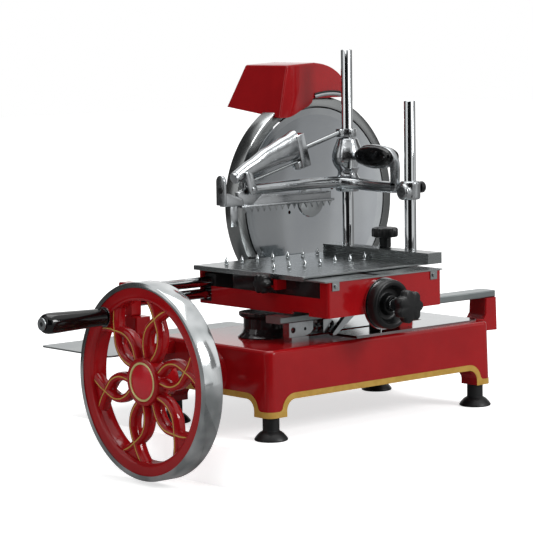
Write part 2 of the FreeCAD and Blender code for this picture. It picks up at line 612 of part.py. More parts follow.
def drive_bevel():
    """Bevel gear on the main shaft."""
    shaft_end = CROSS_X - BEVEL_R - SHAFT_SHORT
    bore = cyl((shaft_end - BEVEL_HUB_L, 0, SHAFT_Z), X, SHAFT_R, BEVEL_HUB_L)
    return bevel_gear(X, 0.0).cut(bore)


def driven_bevel():
    """Bevel gear on the cross shaft, half a tooth out of step so that the two mesh."""
    gear = bevel_gear(Y * -1, 180.0 / BEVEL_TEETH)
    return gear.cut(cyl((CROSS_X, 0, SHAFT_Z), Y, CROSS_R, BEVEL_R + BEVEL_HUB_L + 1))


def crank_pin():
    """Bolt that carries the crank handle, with its washer and socket head."""
    y, z = on_wheel(CRANK_ANGLE, CRANK_AT)
    face = WHEEL_FRONT + 1.5
    bolt = cyl((face - GRIP_L - 5, y, z), X, PIN_R, GRIP_L + 5 + 24)
    washer = cyl((face - GRIP_L - 5, y, z), X, 9.0, 1.5)
    head = cyl((face - GRIP_L - 9, y, z), X, 6.5, 4.5)
    socket = hexagon((face - GRIP_L - 9.5, y, z), X, 3.2, 3.5)
    return join([bolt, washer, head]).cut(socket)


def crank_grip():
    """Black handle that turns on the crank pin, thicker towards its end."""
    y, z = on_wheel(CRANK_ANGLE, CRANK_AT)
    x0 = WHEEL_FRONT + 1.5 - 1.0
    profile = [(PIN_R + RUN, 0), (GRIP_R0, 0), (GRIP_R0 + 0.6, 20), (GRIP_R1 - 0.4, 80),
               (GRIP_R1, 98), (GRIP_R1 - 1.5, 105), (GRIP_R1 - 5, GRIP_L - 2),
               (PIN_R + RUN, GRIP_L - 2)]
    return revolve(profile, (x0, y, z), X * -1)


# ---- cross shaft, chains and blade ------------------------------------------
def cross_shaft():
    """Shaft across the base, from the front chain to the blade's chain."""
    y0 = FEED_CHAIN_Y - CHAIN_W / 2
    return cyl((CROSS_X, y0, SHAFT_Z), Y, CROSS_R, BLADE_CHAIN_Y + 8 - y0)


def sprocket(at, teeth, hub_r, bore):
    """Chain wheel about Y with a tooth gap for every roller."""
    radius = PITCH / 2 / math.sin(math.pi / teeth)
    disc = cyl((at[0], at[1] - CHAIN_W / 2 + MESH, at[2]), Y, radius + 1.6, CHAIN_W - 2 * MESH)
    gaps = []
    for k in range(teeth):
        a = 2 * math.pi * k / teeth
        x, z = at[0] + radius * math.cos(a), at[2] + radius * math.sin(a)
        gaps.append(cyl((x, at[1] - CHAIN_W, z), Y, ROLLER_R + 0.35, 2 * CHAIN_W))
    wheel = disc.cut(gaps)
    hub = cyl((at[0], at[1] - CHAIN_W / 2 + MESH, at[2]), Y, hub_r, CHAIN_W + 5)
    return wheel.fuse(hub).cut(cyl((at[0], at[1] - 20, at[2]), Y, bore, 40)).removeSplitter()


def pitch_radius(teeth):
    """Radius of the circle that the rollers lie on."""
    return PITCH / 2 / math.sin(math.pi / teeth)


def cross_sprockets():
    """Chain wheels on the cross shaft: large for the blade, smaller for the carriage."""
    return group([sprocket((CROSS_X, BLADE_CHAIN_Y, SHAFT_Z), BIG_TEETH, 16, CROSS_R),
                  sprocket((CROSS_X, FEED_CHAIN_Y, SHAFT_Z), FEED_TEETH, 15, CROSS_R)])


def blade_sprocket_small():
    """Small chain wheel on the blade's shaft."""
    return sprocket((CROSS_X, BLADE_CHAIN_Y, BLADE_Z), SMALL_TEETH, 11.6, BLADE_SHAFT_R)


def idler_sprocket():
    """Far chain wheel of the carriage's chain, with its stub shaft."""
    x = CROSS_X - FEED_SPAN
    wheel = sprocket((x, FEED_CHAIN_Y, SHAFT_Z), FEED_TEETH, 15, CROSS_R)
    y0 = FEED_CHAIN_Y - CHAIN_W / 2
    stub = cyl((x, y0, SHAFT_Z), Y, CROSS_R, INNER_WALL[1] - y0)
    return join([wheel, stub])


def chain_band(centre0, centre1, radii, y, half_h):
    """Closed band round two circles in a plane across Y, half_h each side of its line."""
    (x0, z0), (x1, z1) = centre0, centre1
    r0, r1 = radii
    span = math.hypot(x1 - x0, z1 - z0)
    heading = math.atan2(z1 - z0, x1 - x0)
    lean = math.asin((r0 - r1) / span)

    def loop(offset):
        edges = []
        ends = []
        for sign in (1, -1):
            a = heading + sign * (math.pi / 2 - lean)
            ends.append((V(x0 + (r0 + offset) * math.cos(a), y, z0 + (r0 + offset) * math.sin(a)),
                         V(x1 + (r1 + offset) * math.cos(a), y, z1 + (r1 + offset) * math.sin(a))))
        far = V(x1 + (r1 + offset) * math.cos(heading), y, z1 + (r1 + offset) * math.sin(heading))
        near = V(x0 - (r0 + offset) * math.cos(heading), y, z0 - (r0 + offset) * math.sin(heading))
        edges.append(Part.makeLine(ends[0][0], ends[0][1]))
        edges.append(Part.Arc(ends[0][1], far, ends[1][1]).toShape())
        edges.append(Part.makeLine(ends[1][1], ends[1][0]))
        edges.append(Part.Arc(ends[1][0], near, ends[0][0]).toShape())
        return Part.Face(Part.Wire(edges))

    outer, inner = loop(half_h), loop(-half_h)
    return outer.extrude(V(0, LINK_T, 0)).cut(inner.extrude(V(0, LINK_T, 0)))


def chain(centre0, centre1, teeth, y):
    """Roller chain: two rows of side plates and the rollers between them."""
    radii = (pitch_radius(teeth[0]), pitch_radius(teeth[1]))
    front = chain_band(centre0, centre1, radii, y - CHAIN_W / 2 - LINK_T, LINK_H / 2)
    back = moved(front, dy=CHAIN_W + LINK_T)
    pins = []
    (x0, z0), (x1, z1) = centre0, centre1
    span = math.hypot(x1 - x0, z1 - z0)
    heading = math.atan2(z1 - z0, x1 - x0)
    lean = math.asin((radii[0] - radii[1]) / span)
    run = span * math.cos(lean)
    count = int(run / PITCH) - 1
    clear = int(20 / PITCH) + 1
    for sign in (1, -1):
        a = heading + sign * (math.pi / 2 - lean)
        start = (x0 + radii[0] * math.cos(a), z0 + radii[0] * math.sin(a))
        end = (x1 + radii[1] * math.cos(a), z1 + radii[1] * math.sin(a))
        for k in range(clear, count - clear, 2):
            t = (k + 0.5) / count
            at = (start[0] + t * (end[0] - start[0]), y - CHAIN_W / 2 - 0.1,
                  start[1] + t * (end[1] - start[1]))
            pins.append(hexagon(at, Y, ROLLER_R, CHAIN_W + 0.2))
    return join([front, back] + pins)


def blade_chain():
    """Chain from the cross shaft up to the blade."""
    return chain((CROSS_X, SHAFT_Z), (CROSS_X, BLADE_Z), (BIG_TEETH, SMALL_TEETH), BLADE_CHAIN_Y)


def carriage_chain():
    """Level chain loop in the base that carries the carriage to and fro."""
    return chain((CROSS_X - FEED_SPAN, SHAFT_Z), (CROSS_X, SHAFT_Z),
                 (FEED_TEETH, FEED_TEETH), FEED_CHAIN_Y)


def blade():
    """Dished round knife: hollow front, thin rim ground at the back."""
    flat_r = BLADE_R - BLADE_BEVEL
    rise = BLADE_DISH * BLADE_BEVEL / (BLADE_R - BLADE_FLAT_R)
    profile = [(BLADE_SHAFT_R, BLADE_DISH), (BLADE_FLAT_R, BLADE_DISH), (BLADE_R, 0),
               (BLADE_R, 0.8), (flat_r, rise + BLADE_T), (BLADE_FLAT_R, BLADE_DISH + BLADE_T),
               (BLADE_SHAFT_R, BLADE_DISH + BLADE_T)]
    disc = revolve(profile, (CROSS_X, BLADE_FRONT, BLADE_Z), Y)
    holes = [cyl((CROSS_X + 50 * math.cos(math.radians(a)), BLADE_FRONT,
                  BLADE_Z + 50 * math.sin(math.radians(a))), Y, 2.8, BLADE_DISH + BLADE_T + 1)
             for a in (200, 320, 80)]
    return disc.cut(holes)


def blade_hub():
    """Round cap on the blade's centre."""
    return revolve([(0, 0), (HUB_CAP_R - 1.5, 0), (HUB_CAP_R, 1.5), (HUB_CAP_R, HUB_CAP_T),
                    (0, HUB_CAP_T)],
                   (CROSS_X, BLADE_FRONT + BLADE_DISH - HUB_CAP_T, BLADE_Z), Y)


def blade_shaft():
    """Shaft of the blade with the flange that the blade is bolted to."""
    y0, y1 = BLADE_FRONT + BLADE_DISH, BLADE_CHAIN_Y + 8
    shaft = cyl((CROSS_X, y0, BLADE_Z), Y, BLADE_SHAFT_R, y1 - y0)
    flange = cyl((CROSS_X, y0 + BLADE_T, BLADE_Z), Y, 40, FLANGE_T)
    return join([shaft, flange])


def ring_guard():
    """Ring round the knife: front flange, side band and back web, open at the stones."""
    f = BLADE_FRONT
    r_in = BLADE_R + BLADE_GAP
    back = f + RING_DEPTH
    profile = [(r_in, 0), (RING_R - 1, 0), (RING_R, 1), (RING_R, RING_DEPTH),
               (55, RING_DEPTH), (55, RING_DEPTH - RING_T), (RING_R - RING_T, RING_DEPTH - RING_T),
               (RING_R - RING_T, RING_T), (r_in, RING_T)]
    ring = revolve(profile, (CROSS_X, f, BLADE_Z), Y)
    top = BLADE_Z + BLADE_R
    mouth = box(STONE_X - STONE_R - 6, STONE_X + STONE_R + 7, f - 1, back + 1, top - 50, top + 50)
    return ring.cut(mouth).removeSplitter()


def column_outline(grow, y, length):
    """Round-ended upright slab from the cross shaft to the blade shaft."""
    half = COLUMN_W / 2 + grow
    left, right = CROSS_X - half, CROSS_X + half
    edges = [Part.makeLine(V(right, y, SHAFT_Z), V(right, y, BLADE_Z)),
             arc((right, y, BLADE_Z), (CROSS_X, y, BLADE_Z + half), (left, y, BLADE_Z)),
             Part.makeLine(V(left, y, BLADE_Z), V(left, y, SHAFT_Z)),
             arc((left, y, SHAFT_Z), (CROSS_X, y, SHAFT_Z - half), (right, y, SHAFT_Z))]
    return Part.Face(Part.Wire(edges)).extrude(V(0, length, 0))


def blade_column():
    """Red hollow column behind the ring, with the blade's bearing."""
    depth = COLUMN_Y1 - COLUMN_Y0
    shell = column_outline(0, COLUMN_Y0, depth)
    shell = shell.cut(column_outline(-COLUMN_WALL, COLUMN_Y0 + COLUMN_WALL, depth))
    nose_y = BLADE_FRONT + RING_DEPTH
    nose_start = BLADE_FRONT + BLADE_DISH + BLADE_T + FLANGE_T + 1
    nose = cyl((CROSS_X, nose_start, BLADE_Z), Y, 22, COLUMN_Y0 - nose_start + 10)
    pad = cyl((CROSS_X, nose_y, BLADE_Z), Y, 66, COLUMN_Y0 - nose_y)
    shell = shell.fuse([nose, pad])
    bores = [cyl((CROSS_X, 120, BLADE_Z), Y, BLADE_SHAFT_R + RUN, 140),
             cyl((CROSS_X, 120, SHAFT_Z), Y, CROSS_R + 4, 140)]
    return shell.cut(bores).removeSplitter()


def chain_cover():
    """Sheet cover on the back of the column."""
    return column_outline(0, COLUMN_Y1, 2.5)


# ---- sharpener --------------------------------------------------------------
def cover_section(inset, y_top, lean):
    """Outline of the hood across Y, as a wire; lean slopes it back towards the bottom."""
    left, right, peak = COVER_LEFT + inset, COVER_RIGHT - inset, COVER_PEAK - inset
    low = COVER_PEAK - 101.0
    flare = COVER_FLARE * (peak - low)

    def at(x, z):
        return V(x, y_top + lean * (COVER_PEAK - z), z)

    corner, shoulder = at(COVER_LEFT + 60, peak), at(right, peak - 29)
    bend = at(COVER_RIGHT - 27 - inset / 2, peak - 9)
    return Part.Wire([Part.makeLine(at(left, peak - 3), corner),
                      Part.Arc(corner, bend, shoulder).toShape(),
                      Part.makeLine(shoulder, at(right, low)),
                      Part.makeLine(at(right, low), at(left - flare, low)),
                      Part.makeLine(at(left - flare, low), at(left, peak - 3))])


def cover_trim():
    """Cutters of the hood's lower edges: behind the front, and round the knife in front."""
    t, far, floor = COVER_SHELL, 300.0, COVER_PEAK - 300.0
    behind = COVER_FRONT + t
    left, right = COVER_LEFT - far, COVER_RIGHT + far
    return [box(left, right, behind, behind + far, floor, LEFT_CHEEK_Z),
            box(CROSS_X, right, behind, behind + far, floor, RIGHT_CHEEK_Z),
            box(left, CHEEK_STEP_X, COVER_FRONT - 1, behind, floor, CHEEK_TIP_Z),
            box(CHEEK_STEP_X, right, COVER_FRONT - 1, behind, floor, RIGHT_CHEEK_Z),
            cyl((CROSS_X, COVER_FRONT - 1, BLADE_Z), Y, CHEEK_R, t + 1)]


def sharpener_cover():
    """Red hood over the stones: front cheek, flared left cheek, curved top and guide pin."""
    t = COVER_SHELL
    outer = Part.makeLoft([cover_section(0, COVER_FRONT, 0),
                           cover_section(0, COVER_BACK, COVER_LEAN)], True, True)
    inner = Part.makeLoft([cover_section(t, COVER_FRONT + t, 0),
                           cover_section(t, COVER_BACK + t, COVER_LEAN)], True, True)
    shell = outer.cut([inner] + cover_trim())
    base = HOLDER_TOP + GAP
    boss = cyl((CROSS_X, HOOD_PIN_Y, base), Z, 2 * HOOD_PIN_R, COVER_PEAK - t - HOLDER_TOP)
    pin = cyl((CROSS_X, HOOD_PIN_Y, base - HOOD_PIN_L), Z, HOOD_PIN_R, HOOD_PIN_L)
    return join([shell, boss.common(outer), pin])


def stone_bracket():
    """Holder on the ring's back: bores for the stone's spindle and for the hood's pin."""
    back, near = BLADE_FRONT + RING_DEPTH, BLADE_FRONT + 15
    plate = box(STONE_X - HOLDER_LEFT, STONE_X + HOLDER_RIGHT, back, back + HOLDER_T,
                STONE_Z - HOLDER_DOWN, HOLDER_TOP)
    beam = box(STONE_X - BEAM_W / 2, STONE_X + BEAM_W / 2, near, back + HOLDER_T / 2,
               HOLDER_TOP - BEAM_H, HOLDER_TOP)
    lug = box(STONE_X - LUG_W / 2, STONE_X + LUG_W / 2, near, near + 7, STONE_Z - LUG_W / 2,
              HOLDER_TOP - BEAM_H + 2)
    bore = cyl((STONE_X, BLADE_FRONT, STONE_Z), Y, SPINDLE_R + RUN, RING_DEPTH + 2 * HOLDER_T)
    guide = cyl((CROSS_X, HOOD_PIN_Y, HOLDER_TOP - HOOD_PIN_L - 1), Z, HOOD_PIN_R + RUN,
                HOOD_PIN_L + 2)
    return join([plate, beam, lug]).cut([bore, guide])


def grinding_stone():
    """Stone behind the knife's edge, on its spindle."""
    y = BLADE_FRONT + BLADE_T + 0.6
    stone = cyl((STONE_X, y, STONE_Z), Y, STONE_R, STONE_T)
    spindle = cyl((STONE_X, y + STONE_T, STONE_Z), Y, SPINDLE_R, SPINDLE_L)
    return join([stone, spindle])


def receiving_tray():
    """Flat plate behind the base where the slices land, with its flange on the base."""
    plate = box(SLICE_X0, SLICE_X1, BASE_Y - 1, SLICE_Y1, SLICE_Z - SLICE_T, SLICE_Z)
    plate = rounded(plate, 8.0, Z)
    flange = box(-BASE_X + 20, SLICE_X1 - 20, BASE_Y - 1, BASE_Y + BASE_DRAFT + 2,
                 SLICE_Z - 24, SLICE_Z - 1)
    tray = join([plate, flange]).cut(base_body(0.0))
    return max(tray.Solids, key=lambda solid: solid.Volume)


# ---- carriage ---------------------------------------------------------------
def carriage_box():
    """Red frame of the carriage: four walls, ribs and an opening in the left wall."""
    t = BOX_WALL
    outer = box(BOX_X0, BOX_X1, BOX_Y0, BOX_Y1, BOX_Z0, BOX_Z1)
    outer = rounded(outer, 4.0, Z)
    frame = outer.cut(box(BOX_X0 + t, BOX_X1 - t, BOX_Y0 + t, BOX_Y1 - t, BOX_Z0 - 1, BOX_Z1 + 1))
    ribs = [box(x, x + 14, BOX_Y0 + t / 2, BOX_Y1 - t / 2, BOX_Z1 - RIB_H, BOX_Z1)
            for x in (FORK_X - 7, -110.0)]
    frame = frame.fuse(ribs)
    window = box(BOX_X0 - 1, BOX_X0 + t + 1, BOX_Y0 + 18, BOX_Y1 - 9, BOX_Z0 + BOX_BAND, BOX_Z1 + 1)
    notch = box(BOX_X0 - 1, BOX_X0 + t + 1, -117, -78, BOX_Z0 - 1, BOX_Z0 + 5)
    rod_gate = [box(x0 - 1, x0 + t + 1, ROD_Y - ROD_R - 4, ROD_Y + ROD_R + 4, ROD_Z0 - ROD_R - 4,
                    ROD_Z1 + ROD_R + 4) for x0 in (BOX_X0, BOX_X1 - t)]
    bore = cyl((SCREW_X, BOX_Y0 - 1, SCREW_Z), Y, SCREW_R + RUN, t + 2)
    return frame.cut([window, notch, bore] + rod_gate).removeSplitter()


def slide_bushes():
    """Two bearing blocks of the carriage on the guide rods."""
    blocks = []
    for x0 in (BOX_X0 + BOX_WALL + 4, BOX_X1 - BOX_WALL - 4 - 34):
        block = box(x0, x0 + 34, ROD_Y - 13, BOX_Y1 - BOX_WALL, ROD_Z0 - 12, ROD_Z1 + 12)
        holes = [cyl((x0 - 1, ROD_Y, z), X, ROD_R + RUN, 36) for z in (ROD_Z0, ROD_Z1)]
        blocks.append(block.cut(holes))
    return group(blocks)


def drive_fork():
    """Slotted plate under the carriage and the chain's pin in its slot."""
    return group([fork_plate(), drive_pin()])


def fork_plate():
    """Cranked plate: slotted leg before the chain, step over the chain, leg up to the rib."""
    x0, x1 = FORK_X - FORK_W / 2, FORK_X + FORK_W / 2
    r = pitch_radius(FEED_TEETH)
    y_low = FORK_UP_Y - 20
    step_z = BASE_TOP - 8 - 0.5
    upper = box(x0, x1, FORK_UP_Y, FORK_UP_Y + FORK_T, step_z - 5, BOX_Z1 - RIB_H)
    step = box(x0, x1, y_low, FORK_UP_Y + FORK_T, step_z - 5, step_z)
    lower = box(x0, x1, y_low, y_low + FORK_T, ARCH_Z + 1, step_z)
    slot = box(FORK_X - 4, FORK_X + 4, y_low - 1, y_low + FORK_T + 1, SHAFT_Z - r, SHAFT_Z + r + 2)
    return join([upper, step, lower]).cut(slot)


def drive_pin():
    """Pin in the fork's slot, just below the line of the chain's upper run."""
    z = SHAFT_Z + pitch_radius(FEED_TEETH) - 4
    y_chain = FEED_CHAIN_Y - CHAIN_W / 2 - LINK_T - 0.5
    y_low = FORK_UP_Y - 20
    pin = cyl((FORK_X, y_chain, z), Y * -1, 3.9, y_chain - y_low + 2)
    head = cyl((FORK_X, y_low - GAP, z), Y * -1, 6.5, 2.6)
    return join([pin, head])


def roller_bracket():
    """Bracket from the front wall to the rail roller's axle and the trip lever's pin."""
    y_wall, high = BOX_Y0 + BOX_WALL, RAIL_Z1 + 35
    y0, y1 = RAIL_Y0, RAIL_Y0 + EAR_T
    arm = box(ROLLER_X - 8, ROLLER_X + 8, y_wall, y1, high - EAR_T, high)
    ear = box(ROLLER_X - 8, TRIP_X + TRIP_BOSS_R, y0, y1, RAIL_Z1 + 4, high)
    axle = cyl((ROLLER_X, y0, RAIL_Z1 + RAIL_ROLLER_R + GAP), Y, AXLE_R, 28)
    trip_pin = cyl((TRIP_X, y0, TRIP_Z), Y * -1, TRIP_PIN_R, TRIP_T + 4)
    return join([arm, ear, axle, trip_pin])


def rail_roller():
    """Roller of the carriage on the front rail."""
    y0, z = RAIL_Y0 + EAR_T + 0.5, RAIL_Z1 + RAIL_ROLLER_R + GAP
    ring = cyl((ROLLER_X, y0, z), Y, RAIL_ROLLER_R, 16)
    return ring.cut(cyl((ROLLER_X, y0 - 1, z), Y, AXLE_R + RUN, 18))


def lower_tray():
    """Steel tray on the carriage box: slot for the feed nut, screw lug and two front tabs."""
    top = BOX_Z1 + TRAY_T
    tray = box(TRAY_X0, TRAY_X1, BOX_Y0 - 1.5, BOX_Y1, BOX_Z1, top)
    half = NUT_STEM_W / 2 + NUT_SLOT_GAP
    slot = box(SCREW_X - half, SCREW_X + half, -TABLE_TRAVEL - 50, 4, BOX_Z1 - 1, top + 1)
    lug = box(SCREW_X - 12, SCREW_X + 12, 8, 16, SCREW_Z - 12, BOX_Z1)
    lug = lug.cut(cyl((SCREW_X, 7, SCREW_Z), Y, SCREW_R + RUN, 12))
    tabs = []
    for x in TAB_PLACES:
        tabs.append(box(x - 7, x + 7, BOX_Y0 - 1.5, BOX_Y0, BOX_Z1 - 13, BOX_Z1))
        tabs.append(cyl((x, BOX_Y0 - 3.5, BOX_Z1 - 6.5), Y, 3.2, 3.5))
    return join([tray.cut(slot), lug] + tabs)


def side_lock():
    """Red angled holder under the tray's left edge, with the bore of the side knob."""
    y, z = SIDE_KNOB_Y, SIDE_KNOB_Z
    plate = box(BOX_X0 + 1, BOX_X0 + 9, y - 20, y + 9, z - 9, BOX_Z1)
    finger = box(BOX_X0 - 14, BOX_X0 + 2, y - 20, y - 13, z - 9, BOX_Z1 - 2)
    return join([plate, finger]).cut(cyl((BOX_X0, y, z), X, 4.0 + RUN, 20))


def side_knob():
    """Black lobed knob on the carriage's left side, with its screw."""
    y, z = SIDE_KNOB_Y, SIDE_KNOB_Z
    body = lobed((BOX_X0 - 32, y, z), X, SIDE_KNOB_R, 13.0, 6)
    stem = cyl((BOX_X0 - 20, y, z), X, 4.0, 32)
    return join([body, stem])


def lobed(at, axis, radius, length, lobes):
    """Star knob: a disc with scallops between its lobes."""
    disc = cyl(at, axis, radius, length)
    side = across(axis)
    up = axis.cross(side)
    scallops = []
    for k in range(lobes):
        a = 2 * math.pi * (k + 0.5) / lobes
        centre = V(*at) + side * (radius * 1.14 * math.cos(a)) + up * (radius * 1.14 * math.sin(a))
        scallops.append(Part.makeCylinder(radius * 0.30, length + 2, centre - axis, axis))
    return disc.cut(scallops)


def trip_lever():
    """Tapered silver lever under the carriage that meets the stop."""
    y0 = RAIL_Y0 - TRIP_T - 2
    points = [(TRIP_X - 6, TRIP_Z + 5), (TRIP_X + 5, TRIP_Z - 5),
              (TRIP_X - TRIP_L + 7, TRIP_TIP_Z + 0.5), (TRIP_X - TRIP_L + 1, TRIP_TIP_Z),
              (TRIP_X - TRIP_L, TRIP_TIP_Z + 3), (TRIP_X - 30, TRIP_Z - 13.5),
              (TRIP_X - 16, TRIP_Z - 9)]
    plate = prism([(px, y0, pz) for px, pz in points], (0, TRIP_T, 0))
    boss = cyl((TRIP_X, y0, TRIP_Z), Y, TRIP_BOSS_R, TRIP_T)
    return join([plate, boss]).cut(cyl((TRIP_X, y0 - 1, TRIP_Z), Y, TRIP_PIN_R + RUN, TRIP_T + 2))


# ---- feed screw and handwheel -----------------------------------------------
def feed_screw():
    """Screw that moves the feed table, with its collar behind the front wall."""
    screw = cyl((SCREW_X, STAR_Y, SCREW_Z), Y, SCREW_R, 16 - STAR_Y)
    collar = cyl((SCREW_X, BOX_Y0 + BOX_WALL + 0.3, SCREW_Z), Y, SCREW_R + 4, 5)
    return join([screw, collar])


def feed_nut():
    """Nut under the feed table, on the screw, narrow enough to pass the rail's roller."""
    block = box(SCREW_X - NUT_W / 2, SCREW_X + NUT_W / 2, -NUT_L, 0, SCREW_Z - NUT_DOWN,
                SCREW_Z + NUT_UP)
    stem = box(SCREW_X - NUT_STEM_W / 2, SCREW_X + NUT_STEM_W / 2, 2 - NUT_L, -2,
               SCREW_Z + NUT_UP - 1, TABLE_TOP - TABLE_T)
    return join([block, stem]).cut(cyl((SCREW_X, -NUT_L - 1, SCREW_Z), Y, SCREW_R + RUN,
                                       NUT_L + 2))


def scale_dial():
    """Thin graduated ring against the box."""
    ring = cyl((SCREW_X, BOX_Y0 - 0.3 - DIAL_T, SCREW_Z), Y, DIAL_R, DIAL_T)
    return ring.cut(cyl((SCREW_X, BOX_Y0 - 10, SCREW_Z), Y, SCREW_R, 20))


def handwheel():
    """Black dished handwheel of the feed."""
    back = BOX_Y0 - 0.3 - DIAL_T
    r = HANDWHEEL_R
    profile = [(SCREW_R, 0), (r, 0), (r, HANDWHEEL_T - 4), (r - 4, HANDWHEEL_T),
               (r - 9, HANDWHEEL_T), (r - 14, 6), (16, 5), (14, 16), (SCREW_R, 16)]
    return revolve(profile, (SCREW_X, back, SCREW_Z), Y * -1)


def star_knob():
    """Lobed knob in front of the handwheel, on a bright neck."""
    neck_y = BOX_Y0 - 0.3 - DIAL_T - 16
    neck = cyl((SCREW_X, STAR_Y, SCREW_Z), Y, 9.5, neck_y - STAR_Y)
    body = lobed((SCREW_X, STAR_Y - STAR_T, SCREW_Z), Y, STAR_R, STAR_T, STAR_LOBES)
    bore = cyl((SCREW_X, STAR_Y - 1, SCREW_Z), Y, SCREW_R, 60)
    return join([neck, body]).cut(bore)


# ---- feed table -------------------------------------------------------------
def feed_table():
    """Upper steel tray with its folded left flange and slide strips."""
    z0 = TABLE_TOP - TABLE_T
    sheet = box(TABLE_X0, TABLE_X1, TABLE_Y0, TABLE_Y1, z0, TABLE_TOP)
    flange = box(TABLE_X0, TABLE_X0 + 1.6, TABLE_Y0, TABLE_Y1, z0 - TABLE_LIP + TABLE_T, z0)
    strips = [box(x, x + 14, TABLE_Y0 + 12, TABLE_Y1 - 12, BOX_Z1 + TRAY_T + SLIDE_GAP, z0)
              for x in (-120.0, 60.0)]
    holes = [cyl((x, y, z0 - 1), Z, SPIKE_R * 0.6, TABLE_T + 2) for x, y in spike_places()]
    return join([sheet, flange] + strips).cut(holes)


def spike_places():
    """Centres of the spikes on the feed table."""
    return [(SPIKE_X0 + k * SPIKE_PITCH, y) for y in SPIKE_ROWS for k in range(SPIKES)]


def table_spikes():
    """Pointed studs that hold the meat."""
    spikes = []
    for x, y in spike_places():
        point = cone((x, y, TABLE_TOP), Z, SPIKE_R, 0.4, SPIKE_H)
        shank = cyl((x, y, TABLE_TOP - TABLE_T), Z, SPIKE_R * 0.6, TABLE_T)
        spikes.append(join([point, shank]))
    return group(spikes)


def fence_bar():
    """Bar across the table that the meat rests against, with the ledge of the posts."""
    bar = box(FENCE_X0, FENCE_X1, FENCE_Y0, FENCE_Y1, TABLE_TOP + 1, FENCE_TOP)
    ledge = box(FENCE_X1, POST_X + POST_R + 3, FENCE_Y0 + 20, FENCE_Y1, TABLE_TOP + 1,
                FENCE_TOP - 5)
    foot = box(FENCE_X0, TABLE_X1 - 2, TABLE_Y0 + 2, FENCE_Y1, TABLE_TOP, TABLE_TOP + 1)
    grooves = [box(FENCE_X0 - 1, FENCE_X0 + 1.2, FENCE_Y0 - 1, FENCE_Y1 + 1, z, z + 2)
               for z in (FENCE_TOP - 5, FENCE_TOP - 10)]
    sockets = [cyl((POST_X, y, TABLE_TOP + 4), Z, POST_R, 30) for y in (TALL_Y, SHORT_Y)]
    sockets.append(cyl((POST_X, CLAMP_Y, TABLE_TOP + 4), Z, 5.0 + RUN, 30))
    return join([bar, ledge, foot]).cut(grooves + sockets)


def post(y, top):
    """Chromed post with a chamfered end."""
    z0 = TABLE_TOP + 4
    rod = cyl((POST_X, y, z0), Z, POST_R, top - z0)
    edges = [e for e in rod.Edges if e.BoundBox.ZMin > top - 0.1]
    return rod.makeChamfer(1.0, edges)


def guide_posts():
    """Tall post by the blade and shorter post at the near end."""
    return group([post(TALL_Y, TALL_TOP), post(SHORT_Y, SHORT_TOP)])


def clamp_knob():
    """Black cap knob that clamps the fence."""
    screw = cyl((POST_X, CLAMP_Y, TABLE_TOP + 5), Z, 5.0, 30)
    stem = cyl((POST_X, CLAMP_Y, FENCE_TOP + GAP), Z, 9.5, 17)
    cap = revolve([(0, 0), (19.5, 0), (21, 2), (21, 11), (19, 14), (0, 15)],
                  (POST_X, CLAMP_Y, FENCE_TOP + GAP + 16), Z)
    return join([screw, stem, cap])


# ---- press arm --------------------------------------------------------------
def press_arm():
    """Cast arm and the two pins pressed into it."""
    return group([arm_casting(), comb_pin(), lever_pin()])


def arm_casting():
    """Cast arm: sleeve on each post, beam between them and beam over the table."""
    half_w, z0, z1 = ARM_W / 2, ARM_Z - 6, ARM_Z + ARM_H - 8
    beam_y = box(POST_X - half_w - 1, POST_X + half_w + 1, SHORT_Y + 10, TALL_Y, ARM_Z - 14, ARM_Z + 5)
    beam_y = rounded(beam_y, 5.0, Y)
    beam_x = rounded(box(ARM_LEFT + 2, POST_X, TALL_Y - half_w, TALL_Y + half_w, z0, z1), 6.0, X)
    near = box(POST_X - 16, POST_X + 14, SHORT_Y - 15, SHORT_Y + 16, ARM_Z - 14, ARM_Z + 7)
    near = rounded(near, 6.0, Z)
    h = COLLAR_Z - ARM_Z - 2
    bulb = revolve([(0, -16), (20, -16), (23, -8), (23, 2), (16, 12), (14, 19), (19, 26),
                    (23.5, 34), (23.5, 46), (20, 58), (16.5, h), (0, h)],
                   (POST_X, TALL_Y, ARM_Z), Z)
    lug = box(ARM_LEFT - 6, ARM_LEFT + 6, TALL_Y - half_w, TALL_Y + half_w, z0, z1)
    arm = beam_y.fuse([beam_x, near, bulb, lug])
    slot = box(ARM_LEFT - 8, ARM_LEFT + 12, TALL_Y - 4, TALL_Y + 4, z0 - 1, z1 + 1)
    lever_slot = box(LEVER_X - LEVER_T / 2 - 0.4, LEVER_X + LEVER_T / 2 + 0.4, LEVER_Y - 10,
                     LEVER_Y + 10, LEVER_Z - 9, ARM_Z + 20)
    bores = [cyl((POST_X, y, 300), Z, POST_R + RUN, 200) for y in (TALL_Y, SHORT_Y)]
    tools = [comb_pin(), lever_pin(), slot, lever_slot]
    return arm.cut(tools + bores).removeSplitter()


def post_collar():
    """Split collar above the arm's sleeve, with its set screw."""
    ring = cyl((POST_X, TALL_Y, COLLAR_Z), Z, COLLAR_R, COLLAR_H)
    lug = box(POST_X - COLLAR_R - LUG_L, POST_X - 8, TALL_Y - 6, TALL_Y + 6, COLLAR_Z,
              COLLAR_Z + COLLAR_H)
    screw_hole = cyl((POST_X, TALL_Y - COLLAR_R - 1, COLLAR_Z + COLLAR_H / 2), Y, 2.0, 5)
    bore = cyl((POST_X, TALL_Y, COLLAR_Z - 1), Z, POST_R + RUN, COLLAR_H + 2)
    return join([ring, lug]).cut([bore, screw_hole])


def strut_at(distance):
    """Point on the strut's axis, measured from the face of the collar's lug."""
    a = math.radians(STRUT_SLOPE)
    x = POST_X - COLLAR_R - LUG_L - distance * math.cos(a)
    return x, TALL_Y, COLLAR_Z + COLLAR_H / 2 - distance * math.sin(a)


def strut_axis():
    """Direction of the strut, down towards -X."""
    a = math.radians(STRUT_SLOPE)
    return V(-math.cos(a), 0, -math.sin(a))


